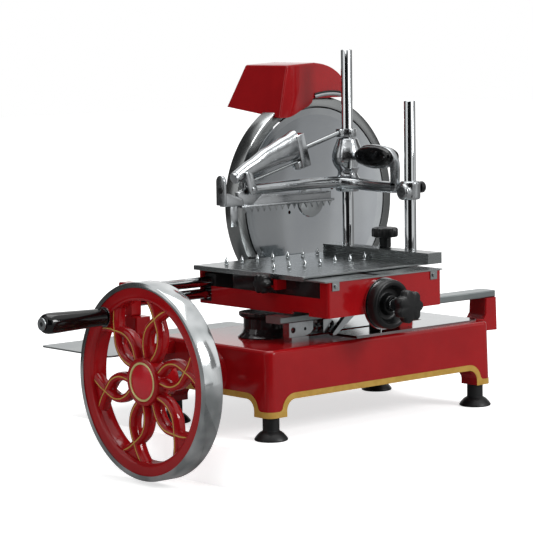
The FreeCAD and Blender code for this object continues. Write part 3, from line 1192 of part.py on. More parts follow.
def strut_rod():
    """Bright rod from the collar to the strut's block."""
    return cyl(strut_at(STRUT_ROD_R * math.sin(math.radians(STRUT_SLOPE)) + GAP), strut_axis(),
               STRUT_ROD_R, STRUT_ROD_L)


def strut_casting():
    """Tapering cast body of the strut behind its square block."""
    x, y, z = strut_at(STRUT_ROD_L)
    (y0, y1), (z0, z1) = STRUT_BLOCK_Y, STRUT_BLOCK_Z
    block = box(x - STRUT_BLOCK_T, x, y + y0, y + y1, z + z0, z + z1)
    block = turned(rounded(block, 2.0), (x, y, z), Y, -STRUT_SLOPE)
    start, end = V(x - STRUT_BLOCK_T + 4, y, z + HORN_UP), V(*HORN_END)
    horn = Part.makeCone(HORN_R0, HORN_R1, (end - start).Length, start, end - start)
    return join([block, horn])


def strut_tie():
    """Thin rod that runs under the strut, from its block to near its end."""
    start = V(*HORN_END) + V(35, 0, -6.5)
    end = V(*strut_at(STRUT_ROD_L)) + V(-9.8, 0, -18.5)
    return Part.makeCylinder(TIE_R, (end - start).Length, start, end - start)


def strut():
    """Strut from the tall post's collar down to the arm's end, with its collar and rods."""
    return group([post_collar(), join([strut_rod(), strut_casting(), strut_tie()])])


def comb():
    """Toothed bar that grips the meat, with its web, end bracket and end plates."""
    y0, y1 = TALL_Y - COMB_W / 2, TALL_Y + COMB_W / 2
    x0, x1 = COMB_X0, COMB_X1
    web_z, end_z = COMB_Z + 3, ARM_Z - 4
    bar = box(x0, x1, y0, y1, COMB_Z, COMB_Z + COMB_T)
    web = comb_plate(6.0, [(x0 + 18, web_z), (x1 - 4, web_z), (x1 - 4, end_z - 4),
                           (x0 + 46, end_z - 6)])
    bracket = comb_plate(7.2, [(x0, web_z), (x0 + 22, web_z), (x0 + 36, ARM_Z + 3),
                               (x0 + 28, ARM_Z + 8), (x0 + 18, ARM_Z + 5), (x0 - 6, end_z)])
    end_plate = comb_plate(8.0, [(x0 - 36, ARM_Z + 25), (x0 - 19, ARM_Z + 25), (x0 - 1, web_z),
                                 (x0 - 31, web_z + 4)])
    eye = box(x0 - 28, x0 - 10, TALL_Y - 5, TALL_Y - 1, COMB_Z + 20, COMB_Z + 29)
    drop_plate = box(x0 - 21, x0 - 1, TALL_Y - 1.5, TALL_Y + 1.5, COMB_Z - 28, COMB_Z + 9)
    body = join([bar, web, bracket, end_plate.cut(eye), drop_plate] + comb_teeth(y0))
    return body.cut(cyl((ARM_LEFT, TALL_Y - 20, ARM_Z), Y, COMB_PIN_R + RUN, 40))


def comb_plate(thick, outline):
    """Upright plate of the toothed bar, centred on it, on an outline in x and z."""
    return prism([(x, TALL_Y - thick / 2, z) for x, z in outline], (0, thick, 0))


def comb_teeth(y0):
    """Row of teeth under the bar, leaning to the right."""
    step = (COMB_X1 - COMB_X0 - 6) / COMB_TEETH
    teeth = []
    for k in range(COMB_TEETH):
        x = COMB_X0 + 4 + k * step
        teeth.append(prism([(x, y0, COMB_Z), (x + step * 0.8, y0, COMB_Z),
                            (x + step * 0.35, y0, COMB_Z - TOOTH_H)], (0, 3, 0)))
    return teeth


def comb_pin():
    """Pin of the toothed bar in the arm's end."""
    return cyl((ARM_LEFT, TALL_Y - ARM_W / 2 - 1, ARM_Z), Y, COMB_PIN_R, ARM_W + 2)


def grip_lever():
    """Flat aluminium lever over the arm, from its pivot to the post's clamp."""
    x0 = LEVER_X - LEVER_T / 2
    y, z, g = LEVER_Y, LEVER_GRIP_Z, LEVER_GRIP_Y
    outer = [(y - 6, LEVER_Z), (y - 8, z - 16), (y - 6, z - 4), (y + 2, z + 7), (y + 16, z + 15),
             (g + 6, z + 18), (g + 30, z + 15), (g + 42, z + 2), (g + 45, z - 6), (g + 38, z - 12),
             (g + 10, z - 19), (g - 20, z - 18), (y + 6, z - 12), (y + 6, LEVER_Z)]
    plate = prism([(x0, py, pz) for py, pz in outer], (LEVER_T, 0, 0))
    eye = cyl((x0, LEVER_Y, LEVER_Z), X, 7.5, LEVER_T)
    return join([plate, eye]).cut(cyl((x0 - 1, LEVER_Y, LEVER_Z), X, 3.0 + RUN, LEVER_T + 2))


def lever_grip():
    """Black oval grip shells on both sides of the lever."""
    halves = []
    for side in (-1, 1):
        x0 = LEVER_X + side * LEVER_T / 2
        edges = oval(x0, LEVER_GRIP_Y, LEVER_GRIP_Z, LEVER_GRIP_L / 2, LEVER_GRIP_H / 2)
        half = Part.Face(edges).extrude(V(side * 9, 0, 0))
        far = [e for e in half.Edges if abs(e.CenterOfMass.x - x0 - side * 9) < 0.01]
        halves.append(half.makeFillet(6.0, far))
    return group(halves)


def oval(x, y, z, half_l, half_h):
    """Oval wire with straight flanks in a plane across X."""
    flat = half_l - half_h
    return Part.Wire([
        Part.makeLine(V(x, y - flat, z + half_h), V(x, y + flat, z + half_h)),
        arc((x, y + flat, z + half_h), (x, y + half_l, z), (x, y + flat, z - half_h)),
        Part.makeLine(V(x, y + flat, z - half_h), V(x, y - flat, z - half_h)),
        arc((x, y - flat, z - half_h), (x, y - half_l, z), (x, y - flat, z + half_h))])


def lever_pin():
    """Pivot pin of the lever in the arm."""
    return cyl((POST_X - ARM_W / 2 - 1, LEVER_Y, LEVER_Z), X, 3.0, ARM_W + 2)


def arm_nut():
    """Round black nut that locks the arm on the short post."""
    stem = cyl((POST_X + 14, SHORT_Y, ARM_Z - 3), X, 3.0, 6)
    head = cyl((POST_X + 18, SHORT_Y, ARM_Z - 3), X, 9.0, 8)
    return join([stem, head])


PIECES = {
    "base_casting": base_casting,
    "base_trim": base_trim,
    "base_cover_plate": cover_plate,
    "rubber_feet": rubber_feet,
    "rail_brackets": rail_brackets,
    "front_rail": front_rail,
    "guide_rods": guide_rods,
    "rod_blocks": rod_blocks,
    "drive_turret": drive_turret,
    "carriage_stop": carriage_stop,
    "shaft_bushes": shaft_bushes,
    "blade_column": blade_column,
    "chain_cover": chain_cover,
    "ring_guard": ring_guard,
    "receiving_tray": receiving_tray,
    "stone_bracket": stone_bracket,
    "blade_chain": blade_chain,
    "carriage_chain": carriage_chain,
    "sharpener_cover": sharpener_cover,
    "grinding_stone": grinding_stone,
    "flywheel_rim": flywheel_rim,
    "flywheel_spider": flywheel_spider,
    "hub_medallion": hub_medallion,
    "main_shaft": main_shaft,
    "drive_bevel": drive_bevel,
    "crank_pin": crank_pin,
    "crank_grip": crank_grip,
    "cross_shaft": cross_shaft,
    "driven_bevel": driven_bevel,
    "cross_sprockets": cross_sprockets,
    "idler_sprocket": idler_sprocket,
    "blade": blade,
    "blade_hub": blade_hub,
    "blade_shaft": blade_shaft,
    "blade_sprocket": blade_sprocket_small,
    "carriage_box": carriage_box,
    "slide_bushes": slide_bushes,
    "drive_fork": drive_fork,
    "roller_bracket": roller_bracket,
    "rail_roller": rail_roller,
    "lower_tray": lower_tray,
    "side_lock": side_lock,
    "side_knob": side_knob,
    "trip_lever": trip_lever,
    "feed_screw": feed_screw,
    "handwheel": handwheel,
    "scale_dial": scale_dial,
    "star_knob": star_knob,
    "feed_table": feed_table,
    "table_spikes": table_spikes,
    "feed_nut": feed_nut,
    "fence_bar": fence_bar,
    "guide_posts": guide_posts,
    "clamp_knob": clamp_knob,
    "press_arm": press_arm,
    "comb": comb,
    "strut": strut,
    "grip_lever": grip_lever,
    "lever_grip": lever_grip,
    "arm_nut": arm_nut,
}


def main():
    """Build every piece and write it as STEP."""
    os.makedirs("parts", exist_ok=True)
    for name, make in PIECES.items():
        shape = make()
        if not shape.isValid():
            print("not valid:", name)
        shape.exportStep("parts/%s.step" % name)
        print(name, len(shape.Solids), round(shape.Volume))


main()
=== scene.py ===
"""Hand crank meat slicer: finishes, fine parts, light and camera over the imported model.

Sizes are in millimetres until a mesh is finished, which puts it in metres.
"""
import logging
import math
from collections.abc import Callable, Sequence
from dataclasses import dataclass, field
from enum import Enum

import bmesh
import bpy
from mathutils import Matrix, Vector


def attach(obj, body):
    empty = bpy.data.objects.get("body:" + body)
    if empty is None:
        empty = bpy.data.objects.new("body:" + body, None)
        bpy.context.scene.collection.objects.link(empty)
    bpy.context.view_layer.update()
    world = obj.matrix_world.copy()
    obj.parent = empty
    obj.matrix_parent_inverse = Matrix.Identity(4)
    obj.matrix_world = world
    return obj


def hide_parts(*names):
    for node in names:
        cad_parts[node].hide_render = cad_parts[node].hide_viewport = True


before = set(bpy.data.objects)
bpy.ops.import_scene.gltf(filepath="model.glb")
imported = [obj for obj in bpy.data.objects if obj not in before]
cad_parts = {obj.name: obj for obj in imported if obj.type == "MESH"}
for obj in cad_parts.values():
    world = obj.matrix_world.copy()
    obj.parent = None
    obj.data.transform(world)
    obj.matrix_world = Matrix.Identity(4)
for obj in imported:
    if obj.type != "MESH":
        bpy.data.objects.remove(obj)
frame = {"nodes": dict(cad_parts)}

LOG = logging.getLogger("slicer")
MM = 0.001
AXES = {"X": Vector((1, 0, 0)), "Y": Vector((0, 1, 0)), "Z": Vector((0, 0, 1))}
WHEEL_AXIS = (0.0, 0.0, 91.0)        # a point on the flywheel's axis
KNIFE_AXIS = (116.0, 0.0, 318.0)     # a point on the knife's axis
POST_X = 110.5                       # both posts of the table
POST_R = 9.2
TALL_Y = 65.0
SHORT_Y = -76.0
Point = Sequence[float]
Profile = Sequence[tuple[float, float]]
ENDLESS = 1e6                        # unit along an axis that a pattern ignores


# ---- nodes and colours --------------------------------------------------------
def linear(code: str) -> tuple[float, float, float, float]:
    """Turn an sRGB hex colour to a linear one.

    Args:
        code: Colour as #RRGGBB.

    Returns:
        Red, green, blue and alpha, linear.
    """
    parts = [int(code[k:k + 2], 16) / 255 for k in (1, 3, 5)]
    parts = [c / 12.92 if c <= 0.04045 else ((c + 0.055) / 1.055) ** 2.4 for c in parts]
    return parts[0], parts[1], parts[2], 1.0


def add(tree: bpy.types.NodeTree, kind: str, settings: dict | None = None,
        inputs: dict | None = None) -> bpy.types.Node:
    """Add a node with its settings and links.

    Args:
        tree: Tree that gets the node.
        kind: The node's type.
        settings: Attributes of the node.
        inputs: For a socket's name or number, its value or the output that feeds it.

    Returns:
        The new node.
    """
    made = tree.nodes.new(kind)
    for name, value in (settings or {}).items():
        setattr(made, name, value)
    for name, value in (inputs or {}).items():
        if isinstance(value, bpy.types.NodeSocket):
            tree.links.new(value, made.inputs[name])
        else:
            made.inputs[name].default_value = value
    return made


# ---- finishes -----------------------------------------------------------------
class Pattern(Enum):
    """How the fine relief of a surface runs."""

    PEEL = "slow waves of a sprayed film"
    RINGS = "fine grooves about an axis"
    LINES = "fine scratches one way"
    CLOUD = "irregular grain or ripple"


@dataclass(frozen=True)
class Finish:
    """One real material, and how its surface was made."""

    name: str
    colour: str
    drift: str                       # tone that the colour wanders to
    roughness: float
    metallic: float = 0.0
    wander: float = 0.03             # how much the roughness wanders
    pattern: Pattern = Pattern.CLOUD
    pitch: float = 1.0               # grain or groove spacing
    run: float = 80.0                # length of a scratch
    depth: float = 0.01              # height of the relief
    patch: float = 50.0              # size of the slow changes
    specular: float = 0.5
    centre: tuple[float, float, float] = (0.0, 0.0, 0.0)
    axis: str = "Y"

    def place(self, tree: bpy.types.NodeTree, size: Point) -> bpy.types.NodeSocket:
        """Object coordinates about the centre, one unit for each size in millimetres.

        Args:
            tree: Material's tree.
            size: Length of a unit along each axis.

        Returns:
            The vector output.
        """
        coords = add(tree, "ShaderNodeTexCoord")
        return add(tree, "ShaderNodeMapping", {"vector_type": "TEXTURE"},
                   {"Vector": coords.outputs["Object"],
                    "Location": [c * MM for c in self.centre],
                    "Scale": [s * MM for s in size]}).outputs["Vector"]

    def relief(self, tree: bpy.types.NodeTree) -> bpy.types.NodeSocket:
        """Height of the fine relief.

        Args:
            tree: Material's tree.

        Returns:
            The height output, from 0 to 1.
        """
        if self.pattern is Pattern.RINGS:
            size = [ENDLESS if name == self.axis else self.pitch for name in "XYZ"]
            radius = add(tree, "ShaderNodeVectorMath", {"operation": "LENGTH"},
                         {0: self.place(tree, size)}).outputs["Value"]
            return add(tree, "ShaderNodeTexNoise", {"noise_dimensions": "1D"},
                       {"W": radius, "Scale": 1.0, "Detail": 2.0}).outputs["Fac"]
        size = [self.pitch] * 3
        if self.pattern is Pattern.LINES:
            size["XYZ".index(self.axis)] = self.run
        detail = 1.0 if self.pattern is Pattern.PEEL else 3.0
        return add(tree, "ShaderNodeTexNoise", None,
                   {"Vector": self.place(tree, size), "Scale": 1.0,
                    "Detail": detail}).outputs["Fac"]

    def make(self) -> bpy.types.Material:
        """Build the node material.

        Returns:
            The material.
        """
        made = bpy.data.materials.new(self.name)
        made.use_nodes = True
        tree = made.node_tree
        tree.nodes.clear()
        slow = add(tree, "ShaderNodeTexNoise", None,
                   {"Vector": self.place(tree, [self.patch] * 3), "Scale": 1.0,
                    "Detail": 2.0}).outputs["Fac"]
        share = add(tree, "ShaderNodeMapRange", None,
                    {"Value": slow, "From Min": 0.35, "From Max": 0.65}).outputs["Result"]
        tone = add(tree, "ShaderNodeMix", {"data_type": "RGBA"},
                   {0: share, 6: linear(self.colour), 7: linear(self.drift)}).outputs[2]
        fine = self.relief(tree)
        rough = add(tree, "ShaderNodeMapRange", None,
                    {"Value": fine, "From Min": 0.3, "From Max": 0.7,
                     "To Min": max(self.roughness - self.wander, 0.0),
                     "To Max": self.roughness + self.wander}).outputs["Result"]
        bump = add(tree, "ShaderNodeBump", None,
                   {"Height": fine, "Distance": self.depth * MM, "Strength": 1.0})
        shader = add(tree, "ShaderNodeBsdfPrincipled", None,
                     {"Base Color": tone, "Metallic": self.metallic, "Roughness": rough,
                      "Specular IOR Level": self.specular, "Normal": bump.outputs["Normal"]})
        add(tree, "ShaderNodeOutputMaterial", None, {"Surface": shader.outputs["BSDF"]})
        return made


class Coat(Enum):
    """The finishes of this machine.

    Grooves, scratches and grain are finer on the real metal. They are drawn as coarse as they
    need to be to show.
    """

    # Sprayed and baked enamel on iron: deep colour under its own hard gloss, faint waves.
    ENAMEL = Finish("stove_enamel_red", "#8F1014", "#870D12", 0.1, wander=0.02, specular=0.32,
                    pattern=Pattern.PEEL, pitch=3.0, depth=0.006)
    # Black japan, brushed on and baked: near black, wet looking, with a warm cast.
    JAPAN = Finish("black_japan", "#171415", "#1F1718", 0.12, wander=0.03, specular=0.4,
                   pattern=Pattern.PEEL, pitch=3.0, depth=0.006)
    # Brush-laid gilt lacquer over the enamel: satin, with slight pooling.
    GILT = Finish("gilt_lacquer", "#AE8B3F", "#A37F34", 0.4, specular=0.3, pitch=1.2,
                  depth=0.02, patch=12.0)
    # Sand-cast aluminium, ground and hand polished: bright, with soft hollows left.
    CAST_ALUMINIUM = Finish("polished_cast_aluminium", "#ABAEB0", "#A0A3A5", 0.2,
                            metallic=1.0, wander=0.04, pitch=14.0, depth=0.04, patch=25.0)
    # Extruded aluminium bar, anodised natural: even grey with a fine lengthwise grain.
    ANODISED = Finish("anodised_aluminium", "#959B9B", "#8C9293", 0.34, metallic=1.0,
                      pattern=Pattern.LINES, pitch=0.5, axis="X", depth=0.004)
    # Knife steel, wet ground on a turning table: fine rings about its centre.
    GROUND_STEEL = Finish("ground_knife_steel", "#C0C4C7", "#B6BABE", 0.1, metallic=1.0,
                          wander=0.03, pattern=Pattern.RINGS, pitch=0.9, depth=0.0006,
                          centre=KNIFE_AXIS, axis="Y", patch=90.0)
    # The knife's edge, freshly stoned: a brighter, finer ring.
    HONED_EDGE = Finish("honed_edge_steel", "#C6CACC", "#BCC0C3", 0.18, metallic=1.0,
                        pattern=Pattern.RINGS, pitch=0.7, depth=0.003, centre=KNIFE_AXIS,
                        axis="Y")
    # Guard ring, cast and turned on a lathe, then buffed: rings under a soft shine.
    TURNED_ALUMINIUM = Finish("turned_cast_aluminium", "#8E9090", "#838686", 0.2,
                              metallic=1.0, pattern=Pattern.RINGS, pitch=1.1, depth=0.003,
                              centre=KNIFE_AXIS, axis="Y")
    # Wheel tyre, turned steel, buffed to a near mirror.
    BUFFED_TYRE = Finish("buffed_steel_tyre", "#D6D9DA", "#9DA2A3", 0.11, metallic=1.0,
                         wander=0.03, pattern=Pattern.RINGS, pitch=1.0, depth=0.0012,
                         centre=WHEEL_AXIS, axis="X")
    # Cold rolled stainless sheet, brushed along the machine.
    BRUSHED_SHEET = Finish("brushed_stainless_sheet", "#969A9A", "#999D9E", 0.26,
                           metallic=1.0, pattern=Pattern.LINES, pitch=0.5, depth=0.001,
                           axis="X", wander=0.06)
    # Stainless bar and cover, buffed with fine compound.
    POLISHED_STEEL = Finish("polished_stainless", "#ABAFB0", "#A0A4A6", 0.13, metallic=1.0,
                            pitch=2.0, depth=0.003, wander=0.04)
    # Fence bar, milled from flat steel and flatted by hand: darker, with long scratches.
    MILLED_STEEL = Finish("milled_flat_steel", "#8E9292", "#828686", 0.26, metallic=1.0,
                          pattern=Pattern.LINES, pitch=0.6, depth=0.006, axis="Y", wander=0.06)
    # Bright nickel and chrome on ground rod: a hard mirror.
    CHROME = Finish("bright_chrome_plate", "#C2C5C6", "#BABDBF", 0.05, metallic=1.0,
                    wander=0.02, pitch=4.0, depth=0.001)
    # Compression moulded phenolic, buffed: near black, wet looking.
    PHENOLIC = Finish("buffed_black_phenolic", "#060607", "#0A0A0B", 0.09, pitch=2.5,
                      depth=0.006, specular=0.4)
    # Glass filled nylon from a spark-eroded mould: black with a fine dull grain.
    NYLON = Finish("moulded_black_nylon", "#0C0D0E", "#111213", 0.34, pitch=0.8, depth=0.03,
                   wander=0.06, specular=0.28)
    # Moulded rubber, dull with a trace of bloom.
    RUBBER = Finish("moulded_black_rubber", "#0D0E0F", "#131516", 0.45, pitch=1.0, depth=0.03,
                    wander=0.08, patch=15.0, specular=0.35)
    # Dull black with a trace of sheen: steel blacked in hot oxide salts on the small screws, and
    # painted shade on the parts inside the carriage and in the crank screw's socket.
    BLACK_AND_SHADE = Finish("black_steel_and_painted_shade", "#161718", "#1D1E1F", 0.45, pitch=1.5, depth=0.02,
                     wander=0.06, specular=0.3)
    # Badge plate, fired red glass on copper: smooth and bright.
    BADGE = Finish("fired_badge_red", "#B31422", "#A9121F", 0.15, pitch=4.0, depth=0.004)
    # The badge's bare gilt rim.
    BADGE_RIM = Finish("badge_rim_gilt", "#CFC489", "#C2B678", 0.35, metallic=0.4, pitch=1.0,
                       depth=0.01)
    # Sintered bronze, straight from the press: matt brown with open pores.
    BRONZE = Finish("sintered_bronze", "#7C5A2E", "#6E4F28", 0.42, metallic=1.0, pitch=0.6,
                    depth=0.02)
    # Hobbed and turned steel, oiled: dark, with cutter marks.
    MACHINED = Finish("oiled_machined_steel", "#5C5F60", "#4E5152", 0.35, metallic=1.0,
                      pattern=Pattern.LINES, pitch=0.6, run=20.0, depth=0.02)
    # Vitrified corundum wheel: coarse pinkish grey grit.
    GRIT = Finish("vitrified_grinding_stone", "#9B8F8A", "#877C78", 0.9, pitch=0.5,
                  depth=0.15, wander=0.05)
    # Zinc plate on the tray's sheet and on the crank's screw: satin grey.
    SATIN_SHEET = Finish("satin_zinc_sheet", "#989C9C", "#8E9394", 0.36, metallic=1.0,
                         pattern=Pattern.LINES, pitch=0.6, depth=0.006, axis="X")


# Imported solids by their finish.
DRESS: dict[Coat, tuple[str, ...]] = {
    Coat.ENAMEL: ("base_casting", "rail_brackets", "rod_blocks", "blade_column", "chain_cover",
                  "sharpener_cover", "flywheel_spider", "carriage_box", "side_lock"),
    Coat.GILT: ("base_trim",),
    Coat.POLISHED_STEEL: ("base_cover_plate", "crank_pin", "blade_hub", "feed_screw",
                          "table_spikes", "comb"),
    Coat.RUBBER: ("rubber_feet",),
    Coat.ANODISED: ("front_rail",),
    Coat.CHROME: ("guide_rods", "scale_dial", "guide_posts"),
    Coat.JAPAN: ("drive_turret",),
    Coat.CAST_ALUMINIUM: ("carriage_stop", "stone_bracket", "trip_lever", "press_arm", "strut",
                          "grip_lever"),
    Coat.BRONZE: ("shaft_bushes", "feed_nut"),
    Coat.TURNED_ALUMINIUM: ("ring_guard",),
    Coat.SATIN_SHEET: ("receiving_tray",),
    Coat.MACHINED: ("blade_chain", "carriage_chain", "main_shaft", "drive_bevel",
                    "cross_shaft", "driven_bevel", "cross_sprockets", "idler_sprocket",
                    "blade_shaft", "blade_sprocket", "rail_roller"),
    Coat.GRIT: ("grinding_stone",),
    Coat.BUFFED_TYRE: ("flywheel_rim",),
    Coat.BADGE: ("hub_medallion",),
    Coat.PHENOLIC: ("crank_grip",),
    Coat.GROUND_STEEL: ("blade",),
    # The parts inside the carriage are black as painted shade of its dark inside.
    Coat.BLACK_AND_SHADE: ("slide_bushes", "drive_fork", "roller_bracket"),
    Coat.BRUSHED_SHEET: ("lower_tray", "feed_table"),
    Coat.NYLON: ("side_knob", "handwheel", "star_knob", "clamp_knob", "lever_grip", "arm_nut"),
    Coat.MILLED_STEEL: ("fence_bar",),
}


# ---- mesh building ------------------------------------------------------------
def spline(points: Sequence[Point], steps: int = 8, closed: bool = False) -> list[Vector]:
    """Smooth line through points.

    Args:
        points: Points that the line passes through.
        steps: Pieces between two of them.
        closed: True where the last point joins the first.

    Returns:
        Points along the line.
    """
    given = [Vector(p) for p in points]
    count = len(given)
    runs = count if closed else count - 1

    def at(k: int) -> Vector:
        """Point k, past the ends the nearest one or the next one round."""
        return given[k % count] if closed else given[min(max(k, 0), count - 1)]

    line = []
    for k in range(runs):
        a, b, c, d = at(k - 1), at(k), at(k + 1), at(k + 2)
        for j in range(steps):
            t = j / steps
            line.append(0.5 * (2 * b + (c - a) * t + (2 * a - 5 * b + 4 * c - d) * t ** 2
                               + (3 * b - a - 3 * c + d) * t ** 3))
    return line if closed else line + [given[-1]]


def directions(axis: str, flip: bool) -> tuple[Vector, Vector, Vector]:
    """Directions of a form about an axis.

    Args:
        axis: X, Y or Z.
        flip: True where heights count against the axis.

    Returns:
        The way along it, and the two directions across it.
    """
    way = AXES[axis] * (-1 if flip else 1)
    side = AXES["X"] if axis == "Y" else AXES["Y"]
    return way, side, way.cross(side)


@dataclass
class Shell:
    """Closed forms gathered in one mesh, in millimetres."""

    verts: list[Vector] = field(default_factory=list)
    faces: list[tuple[int, ...]] = field(default_factory=list)

    def rings(self, rings: Sequence[Sequence[Point]], closed: bool = False) -> "Shell":
        """Skin over rings of equally many points; a ring of one point is a pole.

        Args:
            rings: The rings, in order.
            closed: True where the last ring joins the first, else both ends get a cap.

        Returns:
            The shell itself.
        """
        starts = []
        for ring in rings:
            starts.append((len(self.verts), len(ring)))
            self.verts += [Vector(p) for p in ring]
        pairs = list(zip(starts, starts[1:])) + ([(starts[-1], starts[0])] if closed else [])
        for (a, na), (b, nb) in pairs:
            for k in range(max(na, nb)):
                j = (k + 1) % max(na, nb)
                quad = [a + (k if na > 1 else 0), a + (j if na > 1 else 0),
                        b + (j if nb > 1 else 0), b + (k if nb > 1 else 0)]
                self.faces.append(tuple(dict.fromkeys(quad)))
        if not closed:
            for start, count in (starts[0], starts[-1]):
                if count > 1:
                    self.faces.append(tuple(range(start, start + count)))
        return self

    def lathe(self, profile: Profile, at: Point, axis: str, steps: int = 96,
              closed: bool = False, flip: bool = False) -> "Shell":
        """Turned form.

        Args:
            profile: Radius and height pairs.
            at: Point on the axis where the height is 0.
            axis: X, Y or Z.
            steps: Facets round the axis.
            closed: True for a profile that is a loop, as of a ring.
            flip: True where heights count against the axis.

        Returns:
            The shell itself.
        """
        way, side, up = directions(axis, flip)
        rings = []
        for radius, height in profile:
            turns = range(steps if radius > 1e-6 else 1)
            rings.append([Vector(at) + way * height
                          + (side * math.cos(math.tau * k / steps)
                             + up * math.sin(math.tau * k / steps)) * radius for k in turns])
        return self.rings(rings, closed)

    def tube(self, path: Sequence[Vector], wide: Callable[[float], float],
             deep: Callable[[float], float], up: Point, steps: int = 16,
             power: float = 2.0) -> "Shell":
        """Bar swept along a line.

        Args:
            path: Points of the line.
            wide: Half width at a share of the length.
            deep: Half depth along up at a share of the length.
            up: Direction that the depth is measured along.
            steps: Facets round the bar.
            power: 2 for an oval section, more for a squarer one.

        Returns:
            The shell itself.
        """
        rings = []
        last = len(path) - 1
        for k, point in enumerate(path):
            ahead = (path[min(k + 1, last)] - path[max(k - 1, 0)]).normalized()
            across = ahead.cross(Vector(up)).normalized()
            height = across.cross(ahead).normalized()
            a, b = wide(k / last), deep(k / last)
            ring = []
            for j in range(steps):
                c, s = math.cos(math.tau * j / steps), math.sin(math.tau * j / steps)
                ring.append(point + across * (a * math.copysign(abs(c) ** (2 / power), c))
                            + height * (b * math.copysign(abs(s) ** (2 / power), s)))
            rings.append(ring)
        return self.rings(rings)

    def prism(self, points: Sequence[Point], way: Point) -> "Shell":
        """Straight form on an outline.

        Args:
            points: The outline.
            way: Vector from one end to the other.

        Returns:
            The shell itself.
        """
        return self.rings([[Vector(p) for p in points], [Vector(p) + Vector(way) for p in points]])

    def block(self, low: Point, high: Point) -> "Shell":
        """Block between two corners.

        Args:
            low: Lowest corner.
            high: Highest corner.

        Returns:
            The shell itself.
        """
        (x0, y0, z0), (x1, y1, z1) = low, high
        return self.prism([(x0, y0, z0), (x1, y0, z0), (x1, y1, z0), (x0, y1, z0)],
                          (0, 0, z1 - z0))

    def lobed(self, at: Point, axis: str, radius: float, length: float, lobes: int,
              dip: float, flip: bool = False) -> "Shell":
        """Moulded knob with hollows between its lobes and a rounded edge.

        Args:
            at: Middle of the back face.
            axis: X, Y or Z.
            radius: Radius over the lobes.
            length: Thickness along the axis.
            lobes: How many lobes.
            dip: Depth of the hollows, as a share of the radius.
            flip: True where the knob grows against the axis.

        Returns:
            The shell itself.
        """
        way, side, up = directions(axis, flip)
        edge = 0.14 * length             # reach of the rounding
        rows = [(0.0, edge * 1.2), (edge * 0.3, edge * 0.4), (edge, 0.0),
                (length - edge * 1.6, 0.0), (length - edge * 0.5, edge * 0.7),
                (length, edge * 2.2)]
        rings = [[Vector(at)]]
        steps = 16 * lobes
        for height, inset in rows:
            ring = []
            for k in range(steps):
                turn = math.tau * k / steps
                hollow = (0.5 - 0.5 * math.cos(lobes * turn)) ** 1.6
                far = (radius - inset) * (1 - dip * hollow)
                ring.append(Vector(at) + way * height
                            + (side * math.cos(turn) + up * math.sin(turn)) * far)
            rings.append(ring)
        rings.append([Vector(at) + way * (length + 0.2)])
        return self.rings(rings)

    def turn(self, at: Point, axis: str, degrees: float) -> "Shell":
        """Turn all of it.

        Args:
            at: Point that stays in place.
            axis: X, Y or Z.
            degrees: Angle about the axis.

        Returns:
            The shell itself.
        """
        spin = Matrix.Rotation(math.radians(degrees), 3, axis)
        self.verts = [spin @ (v - Vector(at)) + Vector(at) for v in self.verts]
        return self

    def join(self, part: "Shell") -> "Shell":
        """Take in the forms of another shell.

        Args:
            part: The other shell.

        Returns:
            The shell itself.
        """
        start = len(self.verts)
        self.verts += part.verts
        self.faces += [tuple(k + start for k in face) for face in part.faces]
        return self

    def object(self, name: str) -> bpy.types.Object:
        """Finish the mesh, faces outwards.

        Args:
            name: The piece's name.

        Returns:
            An object at the origin.
        """
        mesh = bpy.data.meshes.new(name)
        mesh.from_pydata([v * MM for v in self.verts], [], self.faces)
        form = bmesh.new()
        form.from_mesh(mesh)
        bmesh.ops.remove_doubles(form, verts=form.verts, dist=1e-6)
        bmesh.ops.recalc_face_normals(form, faces=form.faces)
        form.to_mesh(mesh)
        form.free()
        made = bpy.data.objects.new(name, mesh)
        bpy.context.scene.collection.objects.link(made)
        return made


def settle(piece: bpy.types.Object) -> bpy.types.Object:
    """Turn a piece's modifiers into plain mesh.

    Args:
        piece: Object with modifiers.

    Returns:
        The same object, with none.
    """
    graph = bpy.context.evaluated_depsgraph_get()
    graph.update()
    mesh = bpy.data.meshes.new_from_object(piece.evaluated_get(graph), depsgraph=graph)
    piece.modifiers.clear()
    piece.data = mesh
    return piece


def soften(piece: bpy.types.Object, width: float, segments: int = 3,
           angle: float = 35.0) -> bpy.types.Object:
    """Round a piece's sharp edges.

    Args:
        piece: Object to round.
        width: Size of the rounding.
        segments: Faces across it.
        angle: Smallest angle of an edge that counts as sharp.

    Returns:
        The same object.
    """
    bevel = piece.modifiers.new("round", "BEVEL")
    bevel.width, bevel.segments = width * MM, segments
    bevel.limit_method, bevel.angle_limit = "ANGLE", math.radians(angle)
    return settle(piece)


def carve(piece: bpy.types.Object, tool: Shell) -> bpy.types.Object:
    """Cut a form out of a piece.

    Args:
        piece: Object to cut.
        tool: What is taken out.

    Returns:
        The same object.
    """
    cutter = tool.object("cutter")
    cut = piece.modifiers.new("cut", "BOOLEAN")
    cut.operation, cut.object, cut.solver = "DIFFERENCE", cutter, "EXACT"
    settle(piece)
    bpy.data.objects.remove(cutter)
    return piece


